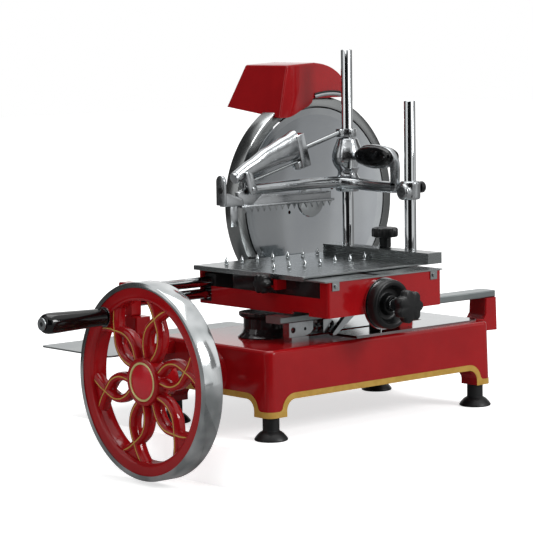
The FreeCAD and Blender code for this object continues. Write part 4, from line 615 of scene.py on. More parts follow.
# ---- repeated pieces ----------------------------------------------------------
class Repeat:
    """A Geometry Nodes tree with named inputs that repeats a mesh."""

    def __init__(self, name: str, sockets: dict[str, str]) -> None:
        """Start the tree.

        Args:
            name: The tree's name.
            sockets: Input names and their socket types.
        """
        self.tree = bpy.data.node_groups.new(name, "GeometryNodeTree")
        face = self.tree.interface
        face.new_socket("Geometry", in_out="OUTPUT", socket_type="NodeSocketGeometry")
        face.new_socket("Geometry", in_out="INPUT", socket_type="NodeSocketGeometry")
        for label, kind in {**sockets, "Finish": "NodeSocketMaterial"}.items():
            face.new_socket(label, in_out="INPUT", socket_type=kind)
        self.given = add(self.tree, "NodeGroupInput").outputs

    def math(self, operation: str, a: object, b: object) -> bpy.types.NodeSocket:
        """Result of a calculation with two values."""
        return add(self.tree, "ShaderNodeMath", {"operation": operation},
                   {0: a, 1: b}).outputs["Value"]

    def close(self, instances: bpy.types.NodeSocket) -> None:
        """End the tree: real mesh with its finish.

        Args:
            instances: Geometry to turn into mesh.
        """
        real = add(self.tree, "GeometryNodeRealizeInstances", None, {"Geometry": instances})
        dressed = add(self.tree, "GeometryNodeSetMaterial", None,
                      {"Geometry": real.outputs["Geometry"], "Material": self.given["Finish"]})
        add(self.tree, "NodeGroupOutput", None, {"Geometry": dressed.outputs["Geometry"]})

    def apply(self, piece: bpy.types.Object, values: dict[str, object]) -> bpy.types.Object:
        """Run the tree on a piece and keep the mesh.

        Args:
            piece: Object with the mesh that is repeated.
            values: Value of each named input.

        Returns:
            The same object.
        """
        modifier = piece.modifiers.new("repeat", "NODES")
        modifier.node_group = self.tree
        for item in self.tree.interface.items_tree:
            if item.in_out == "INPUT" and item.name in values:
                modifier[item.identifier] = values[item.name]
        return settle(piece)


def ring_tree(axis: str) -> Repeat:
    """Tree that repeats a mesh evenly about an axis through a centre.

    Args:
        axis: X, Y or Z.

    Returns:
        The tree, with inputs Count, Phase and Centre.
    """
    made = Repeat("ring_about_" + axis, {"Count": "NodeSocketInt", "Phase": "NodeSocketFloat",
                                         "Centre": "NodeSocketVector"})
    tree, given = made.tree, made.given
    points = add(tree, "GeometryNodePoints", None, {"Count": given["Count"],
                                                    "Position": given["Centre"]})
    number = add(tree, "GeometryNodeInputIndex").outputs["Index"]
    step = made.math("DIVIDE", math.tau, given["Count"])
    turn = made.math("ADD", made.math("MULTIPLY", number, step), given["Phase"])
    spin = add(tree, "ShaderNodeCombineXYZ", None, {axis: turn})
    placed = add(tree, "GeometryNodeInstanceOnPoints", None,
                 {"Points": points.outputs["Geometry"], "Instance": given["Geometry"],
                  "Rotation": spin.outputs["Vector"]})
    made.close(placed.outputs["Instances"])
    return made


def grid_tree() -> Repeat:
    """Tree that repeats a mesh on a level grid.

    Returns:
        The tree, with inputs Columns, Rows, Size X, Size Y and Centre.
    """
    made = Repeat("level_grid", {"Columns": "NodeSocketInt", "Rows": "NodeSocketInt",
                                 "Size X": "NodeSocketFloat", "Size Y": "NodeSocketFloat",
                                 "Centre": "NodeSocketVector"})
    tree, given = made.tree, made.given
    grid = add(tree, "GeometryNodeMeshGrid", None,
               {"Size X": given["Size X"], "Size Y": given["Size Y"],
                "Vertices X": given["Columns"], "Vertices Y": given["Rows"]})
    moved = add(tree, "GeometryNodeTransform", None,
                {"Geometry": grid.outputs["Mesh"], "Translation": given["Centre"]})
    placed = add(tree, "GeometryNodeInstanceOnPoints", None,
                 {"Points": moved.outputs["Geometry"], "Instance": given["Geometry"]})
    made.close(placed.outputs["Instances"])
    return made


def chain_tree() -> Repeat:
    """Tree that lays two kinds of link by turns along a closed line.

    Returns:
        The tree, with inputs Links, Outer link and Inner link.
    """
    made = Repeat("chain_on_line", {"Links": "NodeSocketInt", "Outer link": "NodeSocketObject",
                                    "Inner link": "NodeSocketObject"})
    tree, given = made.tree, made.given
    line = add(tree, "GeometryNodeMeshToCurve", None, {"Mesh": given["Geometry"]})
    spots = add(tree, "GeometryNodeCurveToPoints", {"mode": "COUNT"},
                {"Curve": line.outputs["Curve"], "Count": given["Links"]})
    number = add(tree, "GeometryNodeInputIndex").outputs["Index"]
    odd = made.math("MODULO", number, 2.0)
    face_on = add(tree, "FunctionNodeAlignRotationToVector", {"axis": "X"},
                  {"Vector": spots.outputs["Tangent"]})
    level = add(tree, "FunctionNodeAlignRotationToVector", {"axis": "Y", "pivot_axis": "X"},
                {"Rotation": face_on.outputs["Rotation"], "Vector": (0.0, 1.0, 0.0)})
    laid = []
    for label, chosen in (("Inner link", odd), ("Outer link", made.math("SUBTRACT", 1.0, odd))):
        link = add(tree, "GeometryNodeObjectInfo", None, {"Object": given[label]})
        laid.append(add(tree, "GeometryNodeInstanceOnPoints", None,
                        {"Points": spots.outputs["Points"], "Selection": chosen,
                         "Instance": link.outputs["Geometry"],
                         "Rotation": level.outputs["Rotation"]}).outputs["Instances"])
    both = add(tree, "GeometryNodeJoinGeometry")
    for instances in laid:
        tree.links.new(instances, both.inputs["Geometry"])
    made.close(both.outputs["Geometry"])
    return made


# ---- shop ---------------------------------------------------------------------
class Shop:
    """Materials by finish, and the last steps that every piece goes through."""

    def __init__(self) -> None:
        """Make every finish once."""
        self.stock = {coat: coat.value.make() for coat in Coat}
        self.ring_x, self.ring_y = ring_tree("X"), ring_tree("Y")
        self.grid, self.links = grid_tree(), chain_tree()

    def dress(self, nodes: dict[str, bpy.types.Object]) -> None:
        """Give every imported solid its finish.

        Args:
            nodes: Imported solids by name.
        """
        for coat, names in DRESS.items():
            for name in names:
                for place in nodes[name].material_slots:
                    place.material = self.stock[coat]
        LOG.info("dressed %d packed nodes", sum(len(names) for names in DRESS.values()))

    def send(self, piece: bpy.types.Object, body: str, coat: Coat,
             replaced: Sequence[str] = (), smooth: float = 35.0) -> None:
        """Dress a piece and put it on its body.

        Args:
            piece: Finished object.
            body: Body that it moves with.
            coat: Its finish.
            replaced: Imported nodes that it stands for.
            smooth: Angle above which an edge stays sharp.
        """
        piece.data.materials.clear()
        piece.data.materials.append(self.stock[coat])
        piece.data.shade_smooth()
        piece.data.set_sharp_from_angle(angle=math.radians(smooth))
        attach(piece, body)
        if replaced:
            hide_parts(*replaced)
        LOG.info("%s: %d faces on %s", piece.name, len(piece.data.polygons), body)


def const(value: float) -> Callable[[float], float]:
    """A size that stays the same along a bar."""
    return lambda share: value


def along(*pairs: tuple[float, float]) -> Callable[[float], float]:
    """A size that changes along a bar.

    Args:
        pairs: Share of the length and size there, in order.

    Returns:
        Function from share to size.
    """
    def size(share: float) -> float:
        """Size at a share of the length.

        Args:
            share: From 0 at the start to 1 at the end.

        Returns:
            The size there.
        """
        for (s0, v0), (s1, v1) in zip(pairs, pairs[1:]):
            if share <= s1:
                t = (share - s0) / (s1 - s0)
                return v0 + (v1 - v0) * t * t * (3 - 2 * t)
        return pairs[-1][1]
    return size


# ---- flywheel -----------------------------------------------------------------
@dataclass
class Flywheel:
    """Cast wheel with petal spokes, steel tyre, badge and gilt lines."""

    axis_z: float = WHEEL_AXIS[2]
    front: float = -368.0            # faces of the tyre, in X
    back: float = -334.0
    recess: float = 1.5              # casting's face behind the tyre's
    radius: float = 146.0
    tyre: float = 8.0                # its thickness
    felloe_in: float = 119.0         # inner radius of the felloe
    hub_r: float = 36.0
    petals: int = 6
    first: float = 15.8              # degrees from +Z towards -Y
    petal_front: float = -362.0
    petal_depth: float = 20.0
    bar_half: float = 6.5            # half the width of a petal's bar
    badge_r: float = 29.0
    crank_at: float = 123.0          # distance of the crank pin from the axis
    crank_angle: float = -44.2       # degrees from +Z towards -Y
    # Middle of one bowed bar of a petal, as radius and offset across.
    bow: tuple[tuple[float, float], ...] = ((29, 4.5), (38, 8.6), (50, 14.2), (63, 16.4),
                                            (77, 14.0), (88, 7.4), (97, 0.0), (105, -6.2),
                                            (113, -14.5), (120.5, -25))

    def crank_place(self) -> tuple[float, float]:
        """Place of the crank pin, as Y and Z."""
        a = math.radians(self.crank_angle)
        return -self.crank_at * math.sin(a), self.axis_z + self.crank_at * math.cos(a)

    def bar_line(self, sign: int, x: float) -> list[Vector]:
        """Middle line of one bar of an upright petal about the wheel's centre.

        Args:
            sign: 1 or -1, for the two bars.
            x: Where it lies along the axle.

        Returns:
            Points along the bar.
        """
        return spline([(x, sign * w, r) for r, w in self.bow], 7)

    def petal(self) -> bpy.types.Object:
        """One upright petal: two rounded bars that cross, and the web behind the crossing.

        Returns:
            The object.
        """
        middle = self.petal_front + self.petal_depth / 2
        shape = Shell()
        for sign in (1, -1):
            # A trace apart along the axle, so that the crossing bars don't share a face.
            shape.tube(self.bar_line(sign, middle + 0.02 * sign), const(self.bar_half),
                       const(self.petal_depth / 2), (1, 0, 0), 24, 2.6)
        web, inset = [(97, 3), (104, 7), (112, 15), (120.5, 25)], 2.5
        web += [(r, -w) for r, w in reversed(web)]
        shape.prism([(self.petal_front + inset, w, r) for r, w in web],
                    (self.petal_depth - 2 * inset, 0, 0))
        return shape.object("wheel_petals")

    def stripes(self) -> bpy.types.Object:
        """The gilt lines of one petal, laid on the crest of its bars.

        Returns:
            The object.
        """
        shape = Shell()
        for sign in (1, -1):
            line = self.bar_line(sign, self.petal_front - 0.1)[5:-3]
            shape.tube(line, along((0, 0.2), (0.06, 0.95), (0.94, 0.95), (1, 0.2)), const(0.25),
                       (1, 0, 0), 8)
        return shape.object("wheel_gilt_lines")

    def casting(self) -> bpy.types.Object:
        """Felloe, hub and crank seat.

        Returns:
            The object.
        """
        start = self.front + self.recess
        outer = self.radius - self.tyre
        deep = self.back - self.front - 2 * self.recess
        r, bend = self.felloe_in, 6.0
        turns = (0, 0.4, 0.8, 1.2, math.pi / 2)
        felloe = [(outer, 0), (outer, deep)]
        felloe += [(r + bend - bend * math.sin(a), deep - bend + bend * math.cos(a))
                   for a in turns]
        felloe += [(r + bend - bend * math.cos(a), bend - bend * math.sin(a)) for a in turns]
        shape = Shell().lathe(felloe, (start, 0, self.axis_z), "X", 160, closed=True)
        b, h = self.badge_r, self.hub_r
        hub = [(0, 3), (b, 3), (b, 0.6), (b + 1, 0), (h - 4.5, 0), (h - 1.6, 0.9), (h - 0.3, 3),
               (h, 6), (h, 19), (h - 2, 24), (27, 34), (24, 40), (24, 51), (23, 52), (0, 52)]
        shape.lathe(hub, (start, 0, self.axis_z), "X", 96)
        y, z = self.crank_place()
        seat = [(5.0, 0.5), (9.0, 0.5), (11.0, 2.0), (12.0, 12.0), (11.0, 25.0), (5.0, 25.0)]
        shape.lathe(seat, (start, y, z), "X", 40, closed=True)
        return shape.object("wheel_casting")

    def build(self, shop: Shop) -> None:
        """Make and place the wheel's pieces.

        Args:
            shop: Materials and last steps.
        """
        values = {"Count": self.petals, "Phase": math.radians(self.first),
                  "Centre": (0.0, 0.0, self.axis_z * MM), "Finish": shop.stock[Coat.ENAMEL]}
        petals = shop.ring_x.apply(self.petal(), values)
        shop.send(petals, "flywheel", Coat.ENAMEL, smooth=50)
        lines = shop.ring_x.apply(self.stripes(), {**values, "Finish": shop.stock[Coat.GILT]})
        shop.send(lines, "flywheel", Coat.GILT)
        shop.send(self.casting(), "flywheel", Coat.ENAMEL, ["flywheel_spider"])
        r, t, deep = self.radius, self.tyre, self.back - self.front
        tyre = Shell().lathe([(r - t, 0), (r - 1.4, 0), (r - 0.4, 0.4), (r, 1.4), (r, deep - 1.4),
                              (r - 0.4, deep - 0.4), (r - 1.4, deep), (r - t, deep)],
                             (self.front, 0, self.axis_z), "X", 192, closed=True)
        shop.send(tyre.object("wheel_tyre"), "flywheel", Coat.BUFFED_TYRE,
                  ["flywheel_rim"])
        self.badge(shop)

    def badge(self, shop: Shop) -> None:
        """Bare badge: red face inside a gilt rim.

        Args:
            shop: Materials and last steps.
        """
        at, b = (self.front + self.recess, 0, self.axis_z), self.badge_r
        face = Shell().lathe([(0, 1.5), (b - 4, 1.7), (b - 3, 2.0), (b - 3, 3), (0, 3)], at,
                             "X", 96)
        shop.send(face.object("badge_face"), "flywheel", Coat.BADGE)
        rim = Shell().lathe([(b - 3.2, 0.6), (b - 2.4, 0.1), (b - 0.8, 0.1), (b, 0.7), (b, 3),
                             (b - 3.2, 3)], at, "X", 96, closed=True)
        shop.send(rim.object("badge_rim"), "flywheel", Coat.BADGE_RIM,
                  ["hub_medallion"])


@dataclass
class CrankHandle:
    """Turning grip on the flywheel's crank pin, with washer and socket screw."""

    wheel: Flywheel
    bore: float = 5.05
    clear: float = 1.0               # between the casting's face and the grip

    def build(self, shop: Shop) -> None:
        """Make and place the grip and its screw.

        Args:
            shop: Materials and last steps.
        """
        y, z = self.wheel.crank_place()
        face = self.wheel.front + self.wheel.recess
        seat = (face - 0.3, y, z)
        grip = [(self.bore, 0), (11.6, 0), (12.8, 0.8), (13.0, 3), (13.1, 12), (13.5, 26),
                (14.1, 48), (14.8, 70), (15.4, 88), (15.5, 96), (15.2, 102), (14.2, 106),
                (12.6, 108.6), (10.6, 109.8), (9.6, 110), (self.bore, 110)]
        turned = Shell().lathe(grip, (face - self.clear, y, z), "X", 64, closed=True,
                               flip=True)
        shop.send(turned.object("grip_turned"), "crank_handle", Coat.PHENOLIC,
                  ["crank_grip"])
        shape = Shell().lathe([(0, -24), (5, -24), (5, 112), (9.2, 112), (9.5, 112.3), (9.5, 113.2),
                               (9.3, 113.8), (3.6, 113.8), (3.4, 112.4), (0, 112.4)],
                              seat, "X", 48, flip=True)
        shop.send(shape.object("crank_screw"), "flywheel", Coat.SATIN_SHEET,
                  ["crank_pin"])
        # Black disc in the screw head's recess: painted shade of the deep socket.
        socket = Shell().lathe([(0, 112.3), (3.5, 112.3), (3.5, 113.3), (0, 113.3)], seat, "X",
                               6, flip=True)
        shop.send(socket.object("crank_socket"), "flywheel", Coat.BLACK_AND_SHADE)
        ring = Shell().lathe([(5.1, -0.5), (15.2, -0.5), (15.4, 0), (15.2, 0.6), (12.6, 0.6),
                              (5.1, 0.6)], seat, "X", 64, closed=True, flip=True)
        shop.send(ring.object("crank_washer"), "flywheel",
                  Coat.POLISHED_STEEL)


# ---- knife, ring and hood -----------------------------------------------------
@dataclass
class KnifeHead:
    """Dished knife with its edge, holes and cap, and the turned ring round it."""

    x: float = KNIFE_AXIS[0]
    z: float = KNIFE_AXIS[2]
    front: float = 146.0             # plane of the knife's edge, in Y
    radius: float = 150.0
    edge_in: float = 139.0           # where the ground bevel starts
    hole_at: float = 50.0            # distance of a hole from the axis
    hole_turns: tuple[float, float] = (200.0, 20.0)  # degrees from +X towards +Z
    thick: float = 4.0
    dish: float = 14.0               # depth of the hollow face
    ring_r: float = 169.0
    ring_depth: float = 30.0
    cap_r: float = 28.0
    mouth: tuple[float, float] = (48.0, 97.0)        # gap for the stones, in X

    def hollow(self, radius: float) -> float:
        """Depth of the knife's dished face behind its edge, at a radius."""
        return self.dish * (1 - (radius / self.radius) ** 2.2)

    def knife(self) -> Shell:
        """Knife without its ground edge: dished steel.

        Returns:
            Its form.
        """
        radii = (9, 24, 36, 48, 60, 72, 84, 96, 108, 120, 130, self.edge_in)
        face = [(r, self.hollow(r)) for r in radii]
        backs = [(r, h + self.thick) for r, h in reversed(face)]
        return Shell().lathe(face + backs, (self.x, self.front, self.z), "Y", 192, closed=True)

    def edge(self) -> Shell:
        """Ground bevel at the knife's rim.

        Returns:
            Its form.
        """
        inner, rise = self.edge_in, self.hollow(self.edge_in)
        return Shell().lathe([(inner, rise - 0.02), (self.radius - 0.3, 0.05), (self.radius, 0.3),
                              (self.radius - 0.2, 0.8), (inner, rise + self.thick)],
                             (self.x, self.front, self.z), "Y", 192, closed=True)

    def ring(self) -> bpy.types.Object:
        """Guard ring: rounded front lip, deep band and back web, open at the stones.

        Returns:
            The object.
        """
        r, d, inner = self.ring_r, self.ring_depth, self.radius + 2
        profile = [(inner, 0.5), (inner + 0.6, 0), (r - 2.2, 0), (r - 0.7, 0.6), (r, 2.0),
                   (r, d - 1), (r - 1, d), (55, d), (55, d - 4), (r - 4, d - 4), (r - 4, 4),
                   (inner, 4)]
        made = Shell().lathe(profile, (self.x, self.front, self.z), "Y", 192,
                             closed=True).object("guard_ring")
        mouth = Shell().block((self.mouth[0], self.front - 1, self.z + 100),
                              (self.mouth[1], self.front + d + 1, self.z + 200))
        return carve(made, mouth)

    def build(self, shop: Shop) -> None:
        """Make and place knife, edge, cap and ring.

        Args:
            shop: Materials and last steps.
        """
        blade = self.knife().object("knife_face")
        holes = Shell()
        for turn in self.hole_turns:
            a = math.radians(turn)
            holes.lathe([(0, -1), (2.9, -1), (2.9, 30), (0, 30)],
                        (self.x + self.hole_at * math.cos(a), self.front,
                         self.z + self.hole_at * math.sin(a)), "Y", 32)
        shop.send(carve(blade, holes), "knife", Coat.GROUND_STEEL, ["blade"])
        shop.send(self.edge().object("knife_edge"), "knife", Coat.HONED_EDGE)
        at = (self.x, self.front + self.dish - 3, self.z)
        c = self.cap_r
        cap = Shell().lathe([(0, 0.8), (3.2, 0.8), (3.6, 0.1), (5, 0), (c - 2, 0), (c - 0.6, 0.5),
                             (c, 1.6), (c, 3), (0, 3)], at, "Y", 96)
        shop.send(cap.object("knife_cap"), "knife", Coat.POLISHED_STEEL,
                  ["blade_hub"])
        shop.send(self.ring(), "frame", Coat.TURNED_ALUMINIUM,
                  ["ring_guard"])


@dataclass
class Hood:
    """Pressed sheet hood over the stones, with its pin, front lip and seal."""

    front: float = 133.0
    back: float = 231.0              # how far back it reaches at its peak
    lean: float = 0.47               # growth of that for each millimetre down
    foot: tuple[float, float] = (27.9, 455.0)        # lower left corner of the front
    shoulder: tuple[float, float] = (45.0, 538.0)    # upper left corner
    right: tuple[float, float] = (170.0, 484.0)      # lower right corner
    peak: float = 541.0
    back_low: float = 470.0          # lower edge of the sides at the back
    sheet: float = 2.5
    pin_foot: tuple[float, float, float] = (KNIFE_AXIS[0], 184.0, 452.3)

    def back_y(self, z: float) -> float:
        """How far back the sheet reaches at a height."""
        return self.back + self.lean * (self.peak - z)

    def form(self) -> Shell:
        """Front face and the side that runs back from it, without thickness.

        Returns:
            The open form.
        """
        top = [self.shoulder, (105, self.peak)]
        top += [(p.x, p.z) for p in spline([(105, 0, self.peak), (125, 0, 538), (143, 0, 532),
                                            (158, 0, 523), (170, 0, 512)], 4)][1:]
        low = [self.right, (100, 484), (98, 477.5), (90, 471.5), (78, 467.4), (67, 462.2),
               (58, 458.2), (50, 455.8), (44, 455), self.foot]
        verts = [Vector((x, self.front, z)) for x, z in top + low]
        faces = [tuple(range(len(verts)))]
        starts = [len(verts) - 1] + list(range(len(top) + 1))
        slant = self.shoulder[0] - self.foot[0]
        height = self.shoulder[1] - self.foot[1]
        backs = []
        for x, z in [self.foot] + top + [self.right]:
            low_z = max(z, self.back_low)
            slip = (low_z - z) * slant / height
            backs.append(len(verts))
            verts.append(Vector((x + slip, self.back_y(low_z), low_z)))
        for k in range(len(backs) - 1):
            faces.append((starts[k], starts[k + 1], backs[k + 1], backs[k]))
        return Shell(verts, faces)

    def trim(self, shop: Shop) -> None:
        """Make and place the lip along the front and the seal above it.

        Args:
            shop: Materials and last steps.
        """
        y = self.front - 1.4
        line = spline([(103, y, 486.6), (125, y, 489.5), (148, y, 489.5), (169, y, 486)], 5)
        lip = Shell().tube(line, const(1.3), const(2.6), (0, 0, 1), 16, 3.0)
        shop.send(lip.object("hood_lip"), "hood", Coat.CAST_ALUMINIUM)
        seal = Shell().tube([p + Vector((0, 0.2, 4.0)) for p in line], const(1.2), const(1.6),
                            (0, 0, 1), 16, 3.0)
        shop.send(seal.object("hood_seal"), "hood", Coat.RUBBER)

    def build(self, shop: Shop) -> None:
        """Make and place the hood.

        Args:
            shop: Materials and last steps.
        """
        made = soften(self.form().object("hood_sheet"), 5.0, 5, 25.0)
        wall = made.modifiers.new("wall", "SOLIDIFY")
        wall.thickness, wall.offset = self.sheet * MM, -1.0
        shop.send(settle(made), "hood", Coat.ENAMEL, ["sharpener_cover"], 40)
        pin = Shell().lathe([(0, 0), (3.6, 0), (4, 0.6), (4, 60.0), (8, 60.0), (8, 84.0),
                             (0, 84.0)], self.pin_foot, "Z", 40)
        shop.send(pin.object("hood_pin"), "hood", Coat.POLISHED_STEEL)
        self.trim(shop)


# ---- carriage -----------------------------------------------------------------
@dataclass
class FeedTable:
    """Spikes, rolled edge and posts of the table, and a black sheet of painted shade in the box
    under it.
    """

    top: float = 235.0
    low: tuple[float, float] = (-152.0, -117.0)      # left front corner of the top
    high: tuple[float, float] = (110.0, 136.0)       # right back corner
    corner: float = 3.0              # bend of the rolled edge
    spike_start: float = -114.0
    pitch: float = 31.8
    columns: int = 7
    rows: tuple[float, float] = (-8.0, 102.0)
    # Place in Y and height of the top of each post.
    posts: tuple[tuple[float, float], ...] = ((TALL_Y, 562.0), (SHORT_Y, 484.0))
    # The black sheet of painted shade inside the box: its place in X and its foot.
    shade_sheet_x: tuple[float, float] = (-136.8, -136.0)
    shade_sheet_low: float = 203.0

    def studs(self, shop: Shop) -> None:
        """Make and place the spikes.

        Args:
            shop: Materials and last steps.
        """
        spike = Shell().lathe([(0, -2), (1.9, -2), (1.9, 0), (3.2, 0.0), (3.3, 0.8), (2.5, 1.6),
                               (2.5, 3.0), (3.2, 4.6), (2.7, 6.4), (1.5, 9.2), (0.55, 11.4),
                               (0, 12)], (0, 0, 0), "Z", 20)
        reach_x, reach_y = self.pitch * (self.columns - 1), self.rows[1] - self.rows[0]
        made = shop.grid.apply(spike.object("table_studs"), {
            "Columns": self.columns, "Rows": 2, "Size X": reach_x * MM, "Size Y": reach_y * MM,
            "Centre": ((self.spike_start + reach_x / 2) * MM, sum(self.rows) / 2 * MM,
                       self.top * MM),
            "Finish": shop.stock[Coat.POLISHED_STEEL]})
        shop.send(made, "table", Coat.POLISHED_STEEL, ["table_spikes"])

    def shade_sheet(self) -> Shell:
        """Black sheet inside the box's left side, painted shade of its dark inside, lower behind
        the side knob.

        Returns:
            Its form.
        """
        x0, x1 = self.shade_sheet_x
        shape = Shell()
        for y0, y1, high in ((-154, -51, 228), (-51, -33, 212), (-33, 60, 228)):
            shape.block((x0, y0, self.shade_sheet_low), (x1, y1, high))
        return shape

    def rolled_edge(self) -> Shell:
        """Rounded front and left edges of the table.

        Returns:
            Their form.
        """
        (x0, y0), (x1, y1) = self.low, self.high
        half, z = 1.2, self.top - 1.2
        rim = [Vector((x0 + half, y1 - 3, z))]
        for k in range(7):
            a = math.pi * (1 + k / 12)
            rim.append(Vector((x0 + half + self.corner * (1 + math.cos(a)),
                               y0 + half + self.corner * (1 + math.sin(a)), z)))
        rim.append(Vector((x1 - 3, y0 + half, z)))
        return Shell().tube(rim, const(half), const(1.5), (0, 0, 1), 16)

    def post(self, y: float, high: float) -> Shell:
        """Post with a rounded top.

        Args:
            y: Its place.
            high: Height of its top.

        Returns:
            Its form.
        """
        foot, r = self.top + 4, POST_R
        tall = high - foot
        return Shell().lathe([(0, 0), (r, 0), (r, tall - 1.2), (r - 0.5, tall - 0.4),
                              (r - 1.4, tall), (0, tall)], (POST_X, y, foot), "Z", 64)

    def build(self, shop: Shop) -> None:
        """Make and place spikes, liner, table edge and posts.

        Args:
            Make and place spikes, the black sheet of painted shade, table edge and posts.
        """
        self.studs(shop)
        # A black sheet inside the box's left side stands in for the shade of its inside.
        shop.send(self.shade_sheet().object("box_liner"), "carriage", Coat.JAPAN)
        shop.send(self.rolled_edge().object("table_rolled_edge"), "table",
                  Coat.POLISHED_STEEL)
        for label, (y, high) in zip(("tall", "short"), self.posts):
            shop.send(self.post(y, high).object("post_" + label), "table",
                      Coat.CHROME, ["guide_posts"])


@dataclass
class Knobs:
    """Moulded knobs: feed handwheel with its star knob, side knob and fence clamp."""

    screw_x: float = -33.0
    screw_z: float = 189.0
    dial_back: float = -160.3
    star_back: float = -208.0
    collar_back: float = -188.0
    side_at: tuple[float, float, float] = (-161.0, -42.0, 221.0)
    clamp_at: tuple[float, float, float] = (POST_X, -19.0, 253.3)

    def feed(self, shop: Shop) -> None:
        """Make and place handwheel, star knob, collar and the dial's ticks.

        Args:
            shop: Materials and last steps.
        """
        x, z = self.screw_x, self.screw_z
        dished = [(5, 0), (36, 0), (37, 1.2), (37, 14), (36.2, 17), (34.2, 18.7), (31.6, 19),
                  (29.2, 18.2), (27.8, 16), (24, 8.5), (22, 6.6), (19, 6), (16.4, 6.4), (15, 9),
                  (14, 15), (13, 16), (5, 16)]
        wheel = Shell().lathe(dished, (x, self.dial_back - 4, z), "Y", 128, closed=True,
                              flip=True)
        shop.send(soften(wheel.object("feed_wheel"), 0.6, 2), "feed_drive",
                  Coat.NYLON, ["handwheel"])
        star = Shell().lobed((x, self.star_back, z), "Y", 25.0, 15.8, 7, 0.17, flip=True)
        star.lathe([(0, 0), (9.5, 0), (9.5, 28), (0, 28)], (x, self.star_back - 0.5, z), "Y", 40)
        shop.send(star.object("star_grip"), "feed_drive", Coat.NYLON,
                  ["star_knob"])
        collar = Shell().lathe([(9.6, 0), (11, 0.3), (11.4, 1.4), (11.4, 3.6), (11, 4.7),
                                (9.6, 5)], (x, self.collar_back, z), "Y", 48, closed=True)
        shop.send(collar.object("star_collar"), "feed_drive", Coat.CHROME)
        tick = Shell().block((-0.35, self.dial_back - 4.12, 33.5),
                             (0.35, self.dial_back - 3.9, 37.8))
        ticks = shop.ring_y.apply(tick.object("dial_marks"), {
            "Count": 60, "Phase": 0.0, "Centre": (x * MM, 0.0, z * MM),
            "Finish": shop.stock[Coat.NYLON]})
        shop.send(ticks, "feed_drive", Coat.NYLON)

    def side(self) -> Shell:
        """Six lobed knob on its screw.

        Returns:
            Its form.
        """
        x, y, z = self.side_at
        shape = Shell().lobed(self.side_at, "X", 15.5, 13.0, 6, 0.2, flip=True)
        return shape.lathe([(0, 0), (8, 0), (8, 2), (4, 3), (4, 27), (0, 27)], (x - 1, y, z),
                           "X", 32)

    def clamp(self) -> Shell:
        """Fluted cap on its stem, over the fence.

        Returns:
            Its form.
        """
        x, y, z = self.clamp_at
        shape = Shell().lobed((x, y, z + 16), "Z", 21.0, 15.0, 9, 0.10)
        return shape.lathe([(0, -14), (4.9, -14), (4.9, -0.2), (9.1, 0), (9.5, 0.6), (9.5, 14),
                            (11, 17), (0, 17)], self.clamp_at, "Z", 48)

    def build(self, shop: Shop) -> None:
        """Make and place the knobs.

        Args:
            shop: Materials and last steps.
        """
        self.feed(shop)
        shop.send(self.side().object("side_grip"), "side_screw", Coat.NYLON,
                  ["side_knob"])
        shop.send(self.clamp().object("clamp_cap"), "clamp", Coat.NYLON,
                  ["clamp_knob"])


